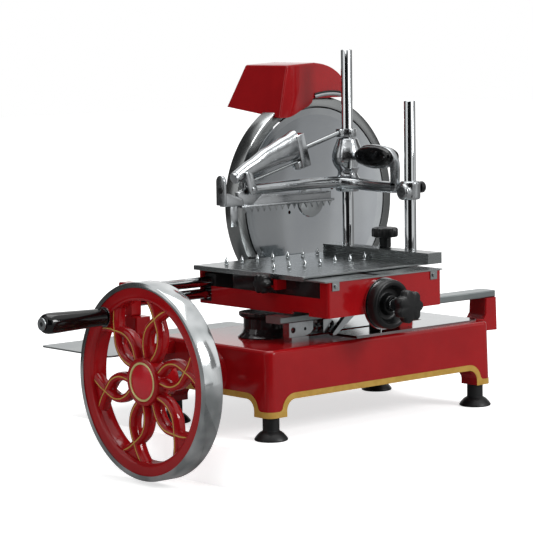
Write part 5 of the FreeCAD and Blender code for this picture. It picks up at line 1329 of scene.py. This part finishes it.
# ---- press arm ----------------------------------------------------------------
@dataclass
class PressArm:
    """Polished castings over the table: the arm with its sleeve, and the lever."""

    arm_z: float = 352.0
    pivot_x: float = -91.0           # pin of the toothed bar
    bore_clear: float = 0.3          # room round a post
    lever_x: float = 100.0
    lever_thick: float = 9.0
    lever_pin: tuple[float, float] = (-48.0, 350.0)  # in Y and Z
    grip_y: float = -8.0             # middle of the lever's grip
    grip_z: float = 396.0
    grip_half: tuple[float, float] = (40.0, 15.5)    # half its length and height

    def casting(self) -> Shell:
        """Arm, elbow, sleeve, near eye and fork seat, overlapping.

        Returns:
            Their forms.
        """
        x, y, z = POST_X, TALL_Y, self.arm_z
        line = spline([(self.pivot_x - 6, y, z), (self.pivot_x + 20, y, z + 0.5),
                       (0, y, z + 2), (60, y, z + 2), (88, y - 4, z + 1), (104, y - 22, z - 1),
                       (x, y - 48, z - 3), (x, y - 90, z - 4), (x, SHORT_Y + 8, z - 4)], 8)
        shape = Shell().tube(line, along((0, 7.8), (0.12, 9.0), (1, 9.8)),
                             along((0, 7.6), (0.3, 9.2), (0.6, 9.4), (1, 8.8)), (0, 0, 1), 32, 2.2)
        sleeve = [(0, -15), (17, -15), (19, -13), (20.5, -8), (20.5, 4), (18, 9), (15.6, 13),
                  (15.8, 18), (18.5, 22), (21.6, 26), (24.6, 33), (25.2, 40), (24.2, 48),
                  (21.6, 56), (18.2, 64), (16.2, 70), (0, 70)]
        shape.lathe(sleeve, (x, y, z), "Z", 64)
        shape.lathe([(0, -18), (14, -18), (16, -16), (16, 9), (14, 11), (0, 11)],
                    (x, SHORT_Y, z - 3), "Z", 48)
        return shape.lathe([(0, -13), (11, -13), (12.4, -11.6), (12.4, 11.6), (11, 13), (0, 13)],
                           (x - 6, SHORT_Y, z - 9), "X", 40)

    def arm(self) -> bpy.types.Object:
        """One skin over the casting, then its bores, window and slot.

        Returns:
            The object.
        """
        made = self.casting().object("arm_casting")
        skin = made.modifiers.new("skin", "REMESH")
        skin.mode, skin.voxel_size = "VOXEL", 1.3 * MM
        ease = made.modifiers.new("ease", "SMOOTH")
        ease.factor, ease.iterations = 0.5, 10
        settle(made)
        x, y, z, r = POST_X, TALL_Y, self.arm_z, POST_R + self.bore_clear
        bores = Shell()
        for post_y in (TALL_Y, SHORT_Y):
            bores.lathe([(0, -60), (r, -60), (r, 120), (0, 120)], (x, post_y, z), "Z", 48)
        carve(made, bores)
        carve(made, Shell().block((x - 16, y - 40, z + 22.5), (x + 30, y - 2, z + 36)))
        return carve(made, Shell().block((self.pivot_x - 20, y - 4, z - 20),
                                         (self.pivot_x + 12, y + 4, z + 20)))

    def pins(self) -> Shell:
        """Pins of toothed bar and lever in the arm.

        Returns:
            Their forms.
        """
        pin = [(0, 0), (2.6, 0), (3, 0.4), (3, 19.6), (2.6, 20), (0, 20)]
        shape = Shell().lathe(pin, (self.pivot_x, TALL_Y - 10, self.arm_z), "Y", 32)
        return shape.lathe(pin, (POST_X - 10, self.lever_pin[0], self.arm_z - 2), "X", 32)

    def lever(self) -> bpy.types.Object:
        """Curved lever on its pin.

        Returns:
            The object.
        """
        (y, low), g, z = self.lever_pin, self.grip_y, self.grip_z
        outer = [(y - 6.5, low), (y - 8.5, low + 15), (y - 8.5, z - 14), (y - 6, z - 3),
                 (y + 3, z + 8), (y + 17, z + 15), (g + 6, z + 18), (g + 28, z + 15),
                 (g + 41, z + 5), (g + 46, z - 4), (g + 38, z - 12), (g + 10, z - 19),
                 (g - 20, z - 18), (y + 9, z - 14), (y + 6.5, z - 24), (y + 6.5, low)]
        x, thick = self.lever_x, self.lever_thick
        shape = Shell().prism(spline([(x, a, b) for a, b in outer], 6), (thick, 0, 0))
        shape.lathe([(0, 0), (7.5, 0), (7.5, thick), (0, thick)], (x, y, low), "X", 40)
        return soften(shape.object("lever_casting"), 2.2, 3, 40)

    def grips(self) -> Shell:
        """Oval grip shells on both faces of the lever.

        Returns:
            Their forms.
        """
        shape, steps = Shell(), 48
        long, tall = self.grip_half
        for sign in (1, -1):
            face = self.lever_x + self.lever_thick / 2 + sign * self.lever_thick / 2
            rings = []
            for high, inset in ((0, 0), (4, 0), (6.5, 1.2), (8.2, 3.6), (9, 7)):
                ring = []
                for k in range(steps):
                    a = math.tau * k / steps
                    c, s = math.cos(a), math.sin(a)
                    ring.append((face + sign * high,
                                 self.grip_y + (long - inset) * math.copysign(abs(c) ** 0.8, c),
                                 self.grip_z + (tall - inset) * math.copysign(abs(s) ** 0.9, s)))
                rings.append(ring)
            shape.rings(rings)
        return shape

    def rivets(self) -> Shell:
        """Domed rivets in the outer grip shell.

        Returns:
            Their forms.
        """
        shape = Shell()
        for dy in (-30, 30):
            shape.lathe([(0, 0), (2.6, 0), (2.4, 0.5), (1.4, 0.9), (0, 1.0)],
                        (self.lever_x - 8.1, self.grip_y + dy, self.grip_z), "X", 20, flip=True)
        return shape

    def build(self, shop: Shop) -> None:
        """Make and place arm and lever.

        Args:
            shop: Materials and last steps.
        """
        shop.send(self.arm(), "press", Coat.CAST_ALUMINIUM,
                  ["press_arm"], 60)
        shop.send(self.pins().object("arm_pins"), "press",
                  Coat.POLISHED_STEEL)
        shop.send(self.lever(), "lever", Coat.CAST_ALUMINIUM,
                  ["grip_lever"], 50)
        shop.send(self.grips().object("lever_shells"), "lever",
                  Coat.PHENOLIC, ["lever_grip"], 50)
        shop.send(self.rivets().object("lever_rivets"), "lever",
                  Coat.CAST_ALUMINIUM)


@dataclass
class Strut:
    """Cast strut from the tall post's collar down to the arm's end, with its rods."""

    bore: float = POST_R + 0.1
    y: float = TALL_Y
    collar_z: float = 424.0
    collar_high: float = 13.0
    slope: float = 15.5              # degrees, down towards -X
    lug_x: float = 91.0
    rod_length: float = 77.0
    knuckle: tuple[float, float] = (-124.0, 372.5)   # lower end, in X and Z
    cut_lean: float = -22.0          # degrees about Y of the round cut end

    def at(self, distance: float) -> Vector:
        """Point on the rod's axis.

        Args:
            distance: How far it lies from the collar's lug.

        Returns:
            The point.
        """
        a = math.radians(self.slope)
        return Vector((self.lug_x - distance * math.cos(a), self.y,
                       self.collar_z + 6.5 - distance * math.sin(a)))

    def horn(self) -> Shell:
        """Tapering body that flares into the block.

        Returns:
            Its form.
        """
        x, z = self.knuckle
        line = spline([(x, self.y, z), (-92, self.y, 386), (-56, self.y + 1, 399.5),
                       (-18, self.y + 2, 411), (2, self.y + 3, 417)], 8)
        return Shell().tube(line, along((0, 8.6), (0.5, 10.5), (0.85, 12.0), (1, 12.8)),
                            along((0, 8.8), (0.25, 12.4), (0.5, 16.6), (0.75, 20.4), (1, 23.0)),
                            (0, 0, 1), 40, 2.6)

    def block(self) -> bpy.types.Object:
        """Square block at the strut's upper end, leaning with it.

        Returns:
            The object.
        """
        end = self.at(self.rod_length)
        shape = Shell().block((end.x - 18, self.y - 10, end.z - 27),
                              (end.x, self.y + 16, end.z + 26))
        shape.block((end.x - 25, self.y - 8.4, end.z - 27), (end.x - 12, self.y + 4, end.z - 14))
        return soften(shape.turn(end, "Y", -self.slope).object("strut_block"), 1.4, 3)

    def knuckles(self) -> bpy.types.Object:
        """Round cut end of the strut and the link that joins it to the arm.

        Returns:
            The object.
        """
        x, z = self.knuckle
        end = (x + 1, self.y, z)
        shape = Shell().lathe([(0, -6), (7.8, -6), (8.6, -5.2), (8.8, 0), (8.8, 8), (0, 8)],
                              end, "X", 48).turn(end, "Y", self.cut_lean)
        shape.lathe([(0, -8), (3.4, -8), (4.4, -7), (4.4, 2), (0, 2)], (x + 14, self.y - 2, z - 11),
                    "Z", 24)
        link = spline([(-113, 0, 379), (-102, 0, 378), (-96, 0, 366), (-91.5, 0, 355),
                       (-91.5, 0, 348.5), (-98.5, 0, 344.8), (-105.5, 0, 348.5), (-110, 0, 362)], 4,
                      closed=True)
        shape.prism([(p.x, self.y - 12.5, p.z) for p in link], (0, 4, 0))
        shape.lathe([(0, -14), (3.0, -14), (3.6, -13.4), (3.6, -8), (0, -8)],
                    (-98.5, self.y, 353), "Y", 24)
        return soften(shape.object("strut_link"), 0.8, 2)

    def collar(self) -> bpy.types.Object:
        """Collar on the tall post, with its lug.

        Returns:
            The object.
        """
        low, high = self.collar_z, self.collar_high
        shape = Shell().lathe([(self.bore, 0), (14.5, 0), (14.5, high), (self.bore, high)],
                              (POST_X, self.y, low), "Z", 72, closed=True)
        shape.block((self.lug_x, self.y - 6, low), (POST_X - 10, self.y + 6, low + high))
        return soften(shape.object("strut_collar"), 0.8, 2)

    def build(self, shop: Shop) -> None:
        """Make and place the strut.

        Args:
            shop: Materials and last steps.
        """
        for made in (self.horn().object("strut_horn"), self.block(), self.knuckles()):
            shop.send(made, "press", Coat.CAST_ALUMINIUM)
        shop.send(self.collar(), "press", Coat.CAST_ALUMINIUM, ["strut"])
        rods = Shell().tube([self.at(0.3), self.at(self.rod_length + 2)], const(3.6), const(3.6),
                            (0, 0, 1), 24)
        rods.tube([Vector((-104, self.y - 4, 363)), Vector((2, self.y - 3, 390.5))], const(2.2),
                  const(2.2), (0, 0, 1), 20)
        shop.send(rods.object("strut_rods"), "press", Coat.POLISHED_STEEL)
        screw = Shell().lathe([(0, 0), (2.0, 0), (2.0, 4), (0, 4)],
                              (POST_X - 5.5, self.y - 13.8, self.collar_z + 6.5), "Y", 20)
        shop.send(screw.object("collar_screw"), "press", Coat.BLACK_AND_SHADE)


@dataclass
class ToothedBar:
    """Toothed bar under the arm, with its web, end bracket, cheek, lock screw and plate."""

    y: float = TALL_Y
    x0: float = -118.0               # ends of the bar
    x1: float = 76.0
    z: float = 325.0                 # its underside
    width: float = 13.0
    teeth: int = 15
    cheek_x: float = -156.0
    cheek_z: tuple[float, float] = (331.0, 367.5)    # its foot, and the middle of its round top
    cheek_half: float = 9.5

    def plate(self, outline: Profile, thick: float) -> Shell:
        """Upright plate on an outline in X and Z, in the bar's middle plane."""
        return Shell().prism([(x, self.y - thick / 2, z) for x, z in outline], (0, thick, 0))

    def bar(self) -> bpy.types.Object:
        """Bar, web and end bracket.

        Returns:
            The object.
        """
        half = self.width / 2
        shape = Shell().block((self.x0, self.y - half, self.z),
                              (self.x1, self.y + half, self.z + 4))
        shape.join(self.plate([(self.x0 + 18, 328), (72, 328), (72, 340.5), (30, 341.5),
                               (-40, 342.5), (-72, 344)], 5.0))
        shape.join(self.plate([(-118, 328), (-94, 328), (-76, 342), (-80, 352), (-90, 360.5),
                               (-101, 358), (-117, 350.5), (-124.5, 349.5)], 7.2))
        shape.join(self.plate([(-153, 329), (-112, 329), (-114, 339), (-124, 343), (-133, 346),
                               (-143, 349), (-153, 350)], 11.0))
        return soften(shape.object("comb_bar"), 1.2, 3)

    def row(self, shop: Shop) -> bpy.types.Object:
        """Teeth along the bar's near edge.

        Args:
            shop: Materials and last steps.

        Returns:
            The object.
        """
        reach = (self.x1 - self.x0 - 6) / self.teeth * (self.teeth - 1)
        tooth = Shell().rings([[(a, -half, z), (b, -half, z), (b, half, z), (a, half, z)]
                               for a, b, half, z in ((-3.6, 3.8, 1.4, 0), (-1.4, 1.4, 1.0, -4),
                                                     (-0.4, 0.2, 0.4, -7.6))])
        return shop.grid.apply(tooth.object("comb_teeth"), {
            "Columns": self.teeth, "Rows": 1, "Size X": reach * MM, "Size Y": 0.0,
            "Centre": ((self.x0 + 9 + reach / 2) * MM, (self.y - self.width / 2 + 1.6) * MM,
                       (self.z + 0.1) * MM),
            "Finish": shop.stock[Coat.POLISHED_STEEL]})

    def cheek(self) -> bpy.types.Object:
        """Upright cheek with a round top at the bar's end.

        Returns:
            The object.
        """
        (low, middle), half = self.cheek_z, self.cheek_half
        face = [(self.y - half, low), (self.y + half, low)]
        face += [(self.y + half * math.cos(a), middle + half * math.sin(a))
                 for a in (math.pi * k / 12 for k in range(13))]
        shape = Shell().prism([(self.cheek_x, y, z) for y, z in face], (5.5, 0, 0))
        return soften(shape.object("comb_end_cheek"), 1.0, 3)

    def build(self, shop: Shop) -> None:
        """Make and place the toothed bar.

        Args:
            shop: Materials and last steps.
        """
        body, slot, cast = "toothed_bar", "polished_aluminium", Coat.CAST_ALUMINIUM
        shop.send(self.bar(), body, cast, ["comb"])
        shop.send(self.row(shop), body, Coat.POLISHED_STEEL)
        shop.send(self.cheek(), body, cast)
        core = Shell().lathe([(0, 0.4), (3.4, 0.4), (3.8, 0), (4.6, 0), (5, 0.8), (5, 3), (0, 3)],
                             (self.cheek_x - 1.2, self.y - 1.5, 354), "X", 40)
        shop.send(core.object("comb_lock_core"), body, Coat.BLACK_AND_SHADE)
        flag = Shell().block((-136, self.y - 1.5, 297), (-121.5, self.y + 1.5, 331))
        shop.send(soften(flag.object("comb_end_plate"), 0.6, 2), body, cast)


# ---- base ---------------------------------------------------------------------
@dataclass
class Feet:
    """Four moulded feet, in the corners of the base."""

    x: float = 215.0                 # distance of each from the base's middle
    y: float = 112.0

    def build(self, shop: Shop) -> None:
        """Make and place the feet.

        Args:
            shop: Materials and last steps.
        """
        foot = [(0, 0), (23, 0), (24.4, 0.7), (25, 1.9), (24.4, 3.4), (22.2, 6.4), (19.4, 9.6),
                (16.2, 12.4), (13.4, 13.8), (12.5, 15), (12.5, 35), (0, 35)]
        made = shop.grid.apply(Shell().lathe(foot, (0, 0, 0), "Z", 56).object("moulded_feet"), {
            "Columns": 2, "Rows": 2, "Size X": 2 * self.x * MM, "Size Y": 2 * self.y * MM,
            "Centre": (0.0, 0.0, 0.0), "Finish": shop.stock[Coat.RUBBER]})
        shop.send(made, "frame", Coat.RUBBER, ["rubber_feet"])


@dataclass
class Chains:
    """Roller chains to the knife and to the carriage."""

    pitch: float = 8.0
    plate: float = 1.2               # room for a link's plate
    width: float = 4.0               # between the inner plates
    knife_plane: float = 197.0       # middle plane of each chain, in Y
    feed_plane: float = -54.0
    idler_x: float = -54.0
    knife_teeth: tuple[int, int] = (36, 12)
    feed_teeth: tuple[int, int] = (20, 20)

    def wheel_radius(self, teeth: int) -> float:
        """Pitch radius of a chain wheel."""
        return self.pitch / 2 / math.sin(math.pi / teeth)

    def link(self, name: str, outer: bool) -> bpy.types.Object:
        """One link about its middle: two waisted plates and two rollers or pins.

        Args:
            name: The link's name.
            outer: True for the link whose plates lie outside.

        Returns:
            The object.
        """
        shape = Shell()
        half, steps = self.pitch / 2, 16
        for sign in (1, -1):
            y = sign * (self.width / 2 + (self.plate if outer else 0.1))
            outline = []
            for k in range(steps):
                a = math.tau * k / steps
                waist = 0.72 if abs(math.cos(a)) < 0.3 else 1.0
                outline.append((math.cos(a) * 3.0 + math.copysign(half, math.cos(a)) * waist, y,
                                math.sin(a) * 3.1 * waist))
            shape.prism(outline, (0, sign * self.plate * 0.8, 0))
        reach = self.width / 2 + (self.plate * 1.9 if outer else 0.0)
        r = 1.1 if outer else 2.2
        for x in (-half, half):
            shape.lathe([(0, -reach), (r, -reach), (r, reach), (0, reach)], (x, 0, 0), "Y", 10)
        return shape.object(name)

    def line(self, name: str, y: float, first: Point, second: Point,
             radii: Point) -> tuple[bpy.types.Object, float]:
        """Line of a chain round two wheels.

        Args:
            name: The chain's name.
            y: Plane that it runs in.
            first: First wheel's X and Z.
            second: Second wheel's X and Z.
            radii: Their pitch radii.

        Returns:
            The line's object and its length.
        """
        (x0, z0), (x1, z1) = first, second
        span = math.hypot(x1 - x0, z1 - z0)
        heading = math.atan2(z1 - z0, x1 - x0)
        lean = math.asin((radii[0] - radii[1]) / span)
        points, steps = [], 32
        for (cx, cz), r, start, sweep in (
                (first, radii[0], heading + math.pi / 2 - lean, math.pi + 2 * lean),
                (second, radii[1], heading - math.pi / 2 + lean, math.pi - 2 * lean)):
            for k in range(steps + 1):
                a = start + sweep * k / steps
                points.append(Vector((cx + r * math.cos(a), y, cz + r * math.sin(a))))
        mesh = bpy.data.meshes.new(name)
        count = len(points)
        mesh.from_pydata([p * MM for p in points], [(k, (k + 1) % count) for k in range(count)], [])
        made = bpy.data.objects.new(name, mesh)
        bpy.context.scene.collection.objects.link(made)
        return made, sum((points[k] - points[k - 1]).length for k in range(count))

    def build(self, shop: Shop) -> None:
        """Make and place both chains.

        Args:
            shop: Materials and last steps.
        """
        outer, inner = self.link("outer_link", True), self.link("inner_link", False)
        cross, knife = (KNIFE_AXIS[0], WHEEL_AXIS[2]), (KNIFE_AXIS[0], KNIFE_AXIS[2])
        idler = (self.idler_x, WHEEL_AXIS[2])
        for name, y, first, second, teeth, node in (
                ("knife_chain", self.knife_plane, cross, knife, self.knife_teeth, "blade_chain"),
                ("feed_chain", self.feed_plane, idler, cross, self.feed_teeth,
                 "carriage_chain")):
            radii = [self.wheel_radius(n) for n in teeth]
            made, length = self.line(name, y, first, second, radii)
            shop.links.apply(made, {"Links": 2 * round(length / self.pitch / 2),
                                    "Outer link": outer, "Inner link": inner,
                                    "Finish": shop.stock[Coat.MACHINED]})
            shop.send(made, "frame", Coat.MACHINED, [node])
        for link in (outer, inner):
            bpy.data.objects.remove(link)


# ---- studio -------------------------------------------------------------------
@dataclass
class Studio:
    """Floor, soft lamps, white surround and camera."""

    place: tuple[float, float, float] = (-2503.0, -2717.0, 630.0)    # of the camera
    yaw: float = 41.24               # degrees from +Y towards +X
    pitch: float = -6.16             # degrees upwards
    roll: float = -0.84
    lens: float = 162.1              # focal length on a 36 mm wide sensor
    bench_edge: float = -292.0       # left edge of the bench top, in X
    lower_floor: float = -62.0
    middle: tuple[float, float, float] = (-40.0, 0.0, 240.0)     # what the lamps point at
    card_far: float = 1500.0         # distance of the cards from it

    def camera(self) -> None:
        """Camera at the viewing angle."""
        yaw, pitch, roll = (math.radians(v) for v in (self.yaw, self.pitch, self.roll))
        ahead = Vector((math.cos(pitch) * math.sin(yaw), math.cos(pitch) * math.cos(yaw),
                        math.sin(pitch)))
        right = Vector((math.cos(yaw), -math.sin(yaw), 0))
        up = right.cross(ahead)
        across = right * math.cos(roll) + up * math.sin(roll)
        upward = up * math.cos(roll) - right * math.sin(roll)
        turn = Matrix((across, upward, -ahead)).transposed()
        data = bpy.data.cameras.new("camera")
        data.lens, data.sensor_width, data.clip_end = self.lens, 36.0, 100.0
        made = bpy.data.objects.new("camera", data)
        made.matrix_world = Matrix.Translation(Vector(self.place) * MM) @ turn.to_4x4()
        bpy.context.scene.collection.objects.link(made)
        bpy.context.scene.camera = made

    def floor(self) -> None:
        """Pale bench top with its edge before the wheel, and the floor below that edge."""
        wide, low = 9000.0, self.lower_floor
        shape = Shell().block((self.bench_edge, -wide, low), (wide, wide, 0.0))
        shape.block((-wide, -wide, low - 40), (wide, wide, low))
        made = shape.object("floor")
        paint = bpy.data.materials.new("matt_white_board")
        paint.use_nodes = True
        tree = paint.node_tree
        tree.nodes.clear()
        path = add(tree, "ShaderNodeLightPath")
        dim = add(tree, "ShaderNodeMath", {"operation": "MULTIPLY"},
                  {0: path.outputs["Is Glossy Ray"], 1: 0.1})
        seen = add(tree, "ShaderNodeMath", {"operation": "MAXIMUM"},
                   {0: path.outputs["Is Camera Ray"], 1: dim.outputs["Value"]})
        coords = add(tree, "ShaderNodeTexCoord")
        away = add(tree, "ShaderNodeVectorMath", {"operation": "LENGTH"},
                   {0: coords.outputs["Object"]})
        glow = add(tree, "ShaderNodeMapRange", None,
                   {"Value": away.outputs["Value"], "From Min": 0.7, "From Max": 2.0,
                    "To Min": 0.66, "To Max": 1.0})
        lift = add(tree, "ShaderNodeMath", {"operation": "MULTIPLY"},
                   {0: seen.outputs["Value"], 1: glow.outputs["Result"]})
        shade = add(tree, "ShaderNodeMix", {"data_type": "RGBA"},
                    {0: path.outputs["Is Glossy Ray"], 6: linear("#E6E6E6"),
                     7: linear("#8A8A8A")})
        board = add(tree, "ShaderNodeBsdfPrincipled", None,
                    {"Base Color": shade.outputs[2], "Roughness": 0.9,
                     "Specular IOR Level": 0.1, "Emission Color": (1, 1, 1, 1),
                     "Emission Strength": lift.outputs["Value"]})
        add(tree, "ShaderNodeOutputMaterial", None, {"Surface": board.outputs["BSDF"]})
        made.data.materials.append(paint)

    def surround(self) -> None:
        """White surround for what the camera and shiny surfaces see, softer as light."""
        world = bpy.data.worlds.new("surround")
        world.use_nodes = True
        bpy.context.scene.world = world
        tree = world.node_tree
        tree.nodes.clear()
        path = add(tree, "ShaderNodeLightPath").outputs
        seen = add(tree, "ShaderNodeMath", {"operation": "MAXIMUM"},
                   {0: path["Is Camera Ray"], 1: path["Is Glossy Ray"]})
        seen = add(tree, "ShaderNodeMath", {"operation": "MAXIMUM"},
                   {0: seen.outputs["Value"], 1: path["Is Transmission Ray"]})
        level = add(tree, "ShaderNodeMapRange", None,
                    {"Value": seen.outputs["Value"], "To Min": 0.34, "To Max": 1.0})
        back = add(tree, "ShaderNodeBackground", None,
                   {"Color": (1, 1, 1, 1), "Strength": level.outputs["Result"]})
        add(tree, "ShaderNodeOutputWorld", None, {"Surface": back.outputs["Background"]})

    def lamp(self, name: str, place: Point, size: float, power: float) -> None:
        """Soft square lamp that points at the machine.

        Args:
            name: The lamp's name.
            place: Where it stands.
            size: Length of a side.
            power: Watts.
        """
        data = bpy.data.lights.new(name, "AREA")
        data.shape, data.size, data.size_y = "RECTANGLE", size * MM, size * MM
        data.energy = power
        made = bpy.data.objects.new(name, data)
        made.location = Vector(place) * MM
        ahead = Vector(self.middle) - Vector(place)
        made.rotation_euler = ahead.to_track_quat("-Z", "Y").to_euler()
        bpy.context.scene.collection.objects.link(made)

    def card(self, name: str, start: float, end: float, low: float, high: float,
             tone: float) -> None:
        """Curved glowing card that only shiny surfaces see, so that metal shows its form.

        Args:
            name: The card's name.
            start: Where it starts, in degrees from the camera's side, right-handed.
            end: Where it ends.
            low: Its lower edge.
            high: Its upper edge.
            tone: How light it looks, where 1 is white.
        """
        shape = Shell()
        steps = max(int(abs(end - start) / 4), 1)
        for k in range(steps + 1):
            a = math.radians(start + (end - start) * k / steps - 90 - self.yaw)
            x = self.middle[0] + self.card_far * math.cos(a)
            y = self.middle[1] + self.card_far * math.sin(a)
            shape.verts += [Vector((x, y, low)), Vector((x, y, high))]
        shape.faces = [(2 * k, 2 * k + 1, 2 * k + 3, 2 * k + 2) for k in range(steps)]
        made = shape.object(name)
        cloth = bpy.data.materials.new(name + "_cloth")
        cloth.use_nodes = True
        tree = cloth.node_tree
        tree.nodes.clear()
        glow = add(tree, "ShaderNodeEmission", None, {"Strength": tone})
        add(tree, "ShaderNodeOutputMaterial", None, {"Surface": glow.outputs["Emission"]})
        made.data.materials.append(cloth)
        made.visible_camera = made.visible_diffuse = made.visible_shadow = False

    def build(self) -> None:
        """Set up the studio."""
        self.camera()
        self.floor()
        self.surround()
        self.lamp("key_lamp", (900, -2300, 1500), 900, 44)
        self.lamp("fill_lamp", (-2300, -600, 1500), 1400, 16)
        self.lamp("top_lamp", (100, 200, 2400), 1800, 32)
        self.card("front_card", -46, 30, -60, 1500, 0.012)
        for k, (start, end, tone) in enumerate(((66, 72, 0.85), (72, 80, 0.72), (80, 88, 0.6),
                                                (88, 98, 0.45), (98, 142, 0.32))):
            self.card(f"right_card_{k}", start, end, -60, 400, tone)
        self.card("right_tall_card", 68, 84, 420, 1300, 0.2)
        self.card("right_back_card", 106, 142, 420, 1300, 0.16)
        self.card("left_card", -140, -88, -60, 2200, 0.07)
        bpy.context.scene.view_settings.view_transform = "Standard"
        LOG.info("studio ready")


def main() -> None:
    """Build every sub-assembly, then the studio."""
    logging.basicConfig(level=logging.INFO, format="%(name)s: %(message)s")
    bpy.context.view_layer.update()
    shop = Shop()
    shop.dress(frame["nodes"])
    wheel = Flywheel()
    for part in (wheel, CrankHandle(wheel), KnifeHead(), Hood(), FeedTable(), Knobs(),
                 PressArm(), Strut(), ToothedBar(), Feet(), Chains()):
        part.build(shop)
        LOG.info("%s done", type(part).__name__)
    Studio().build()


if __name__ == "__main__":
    main()
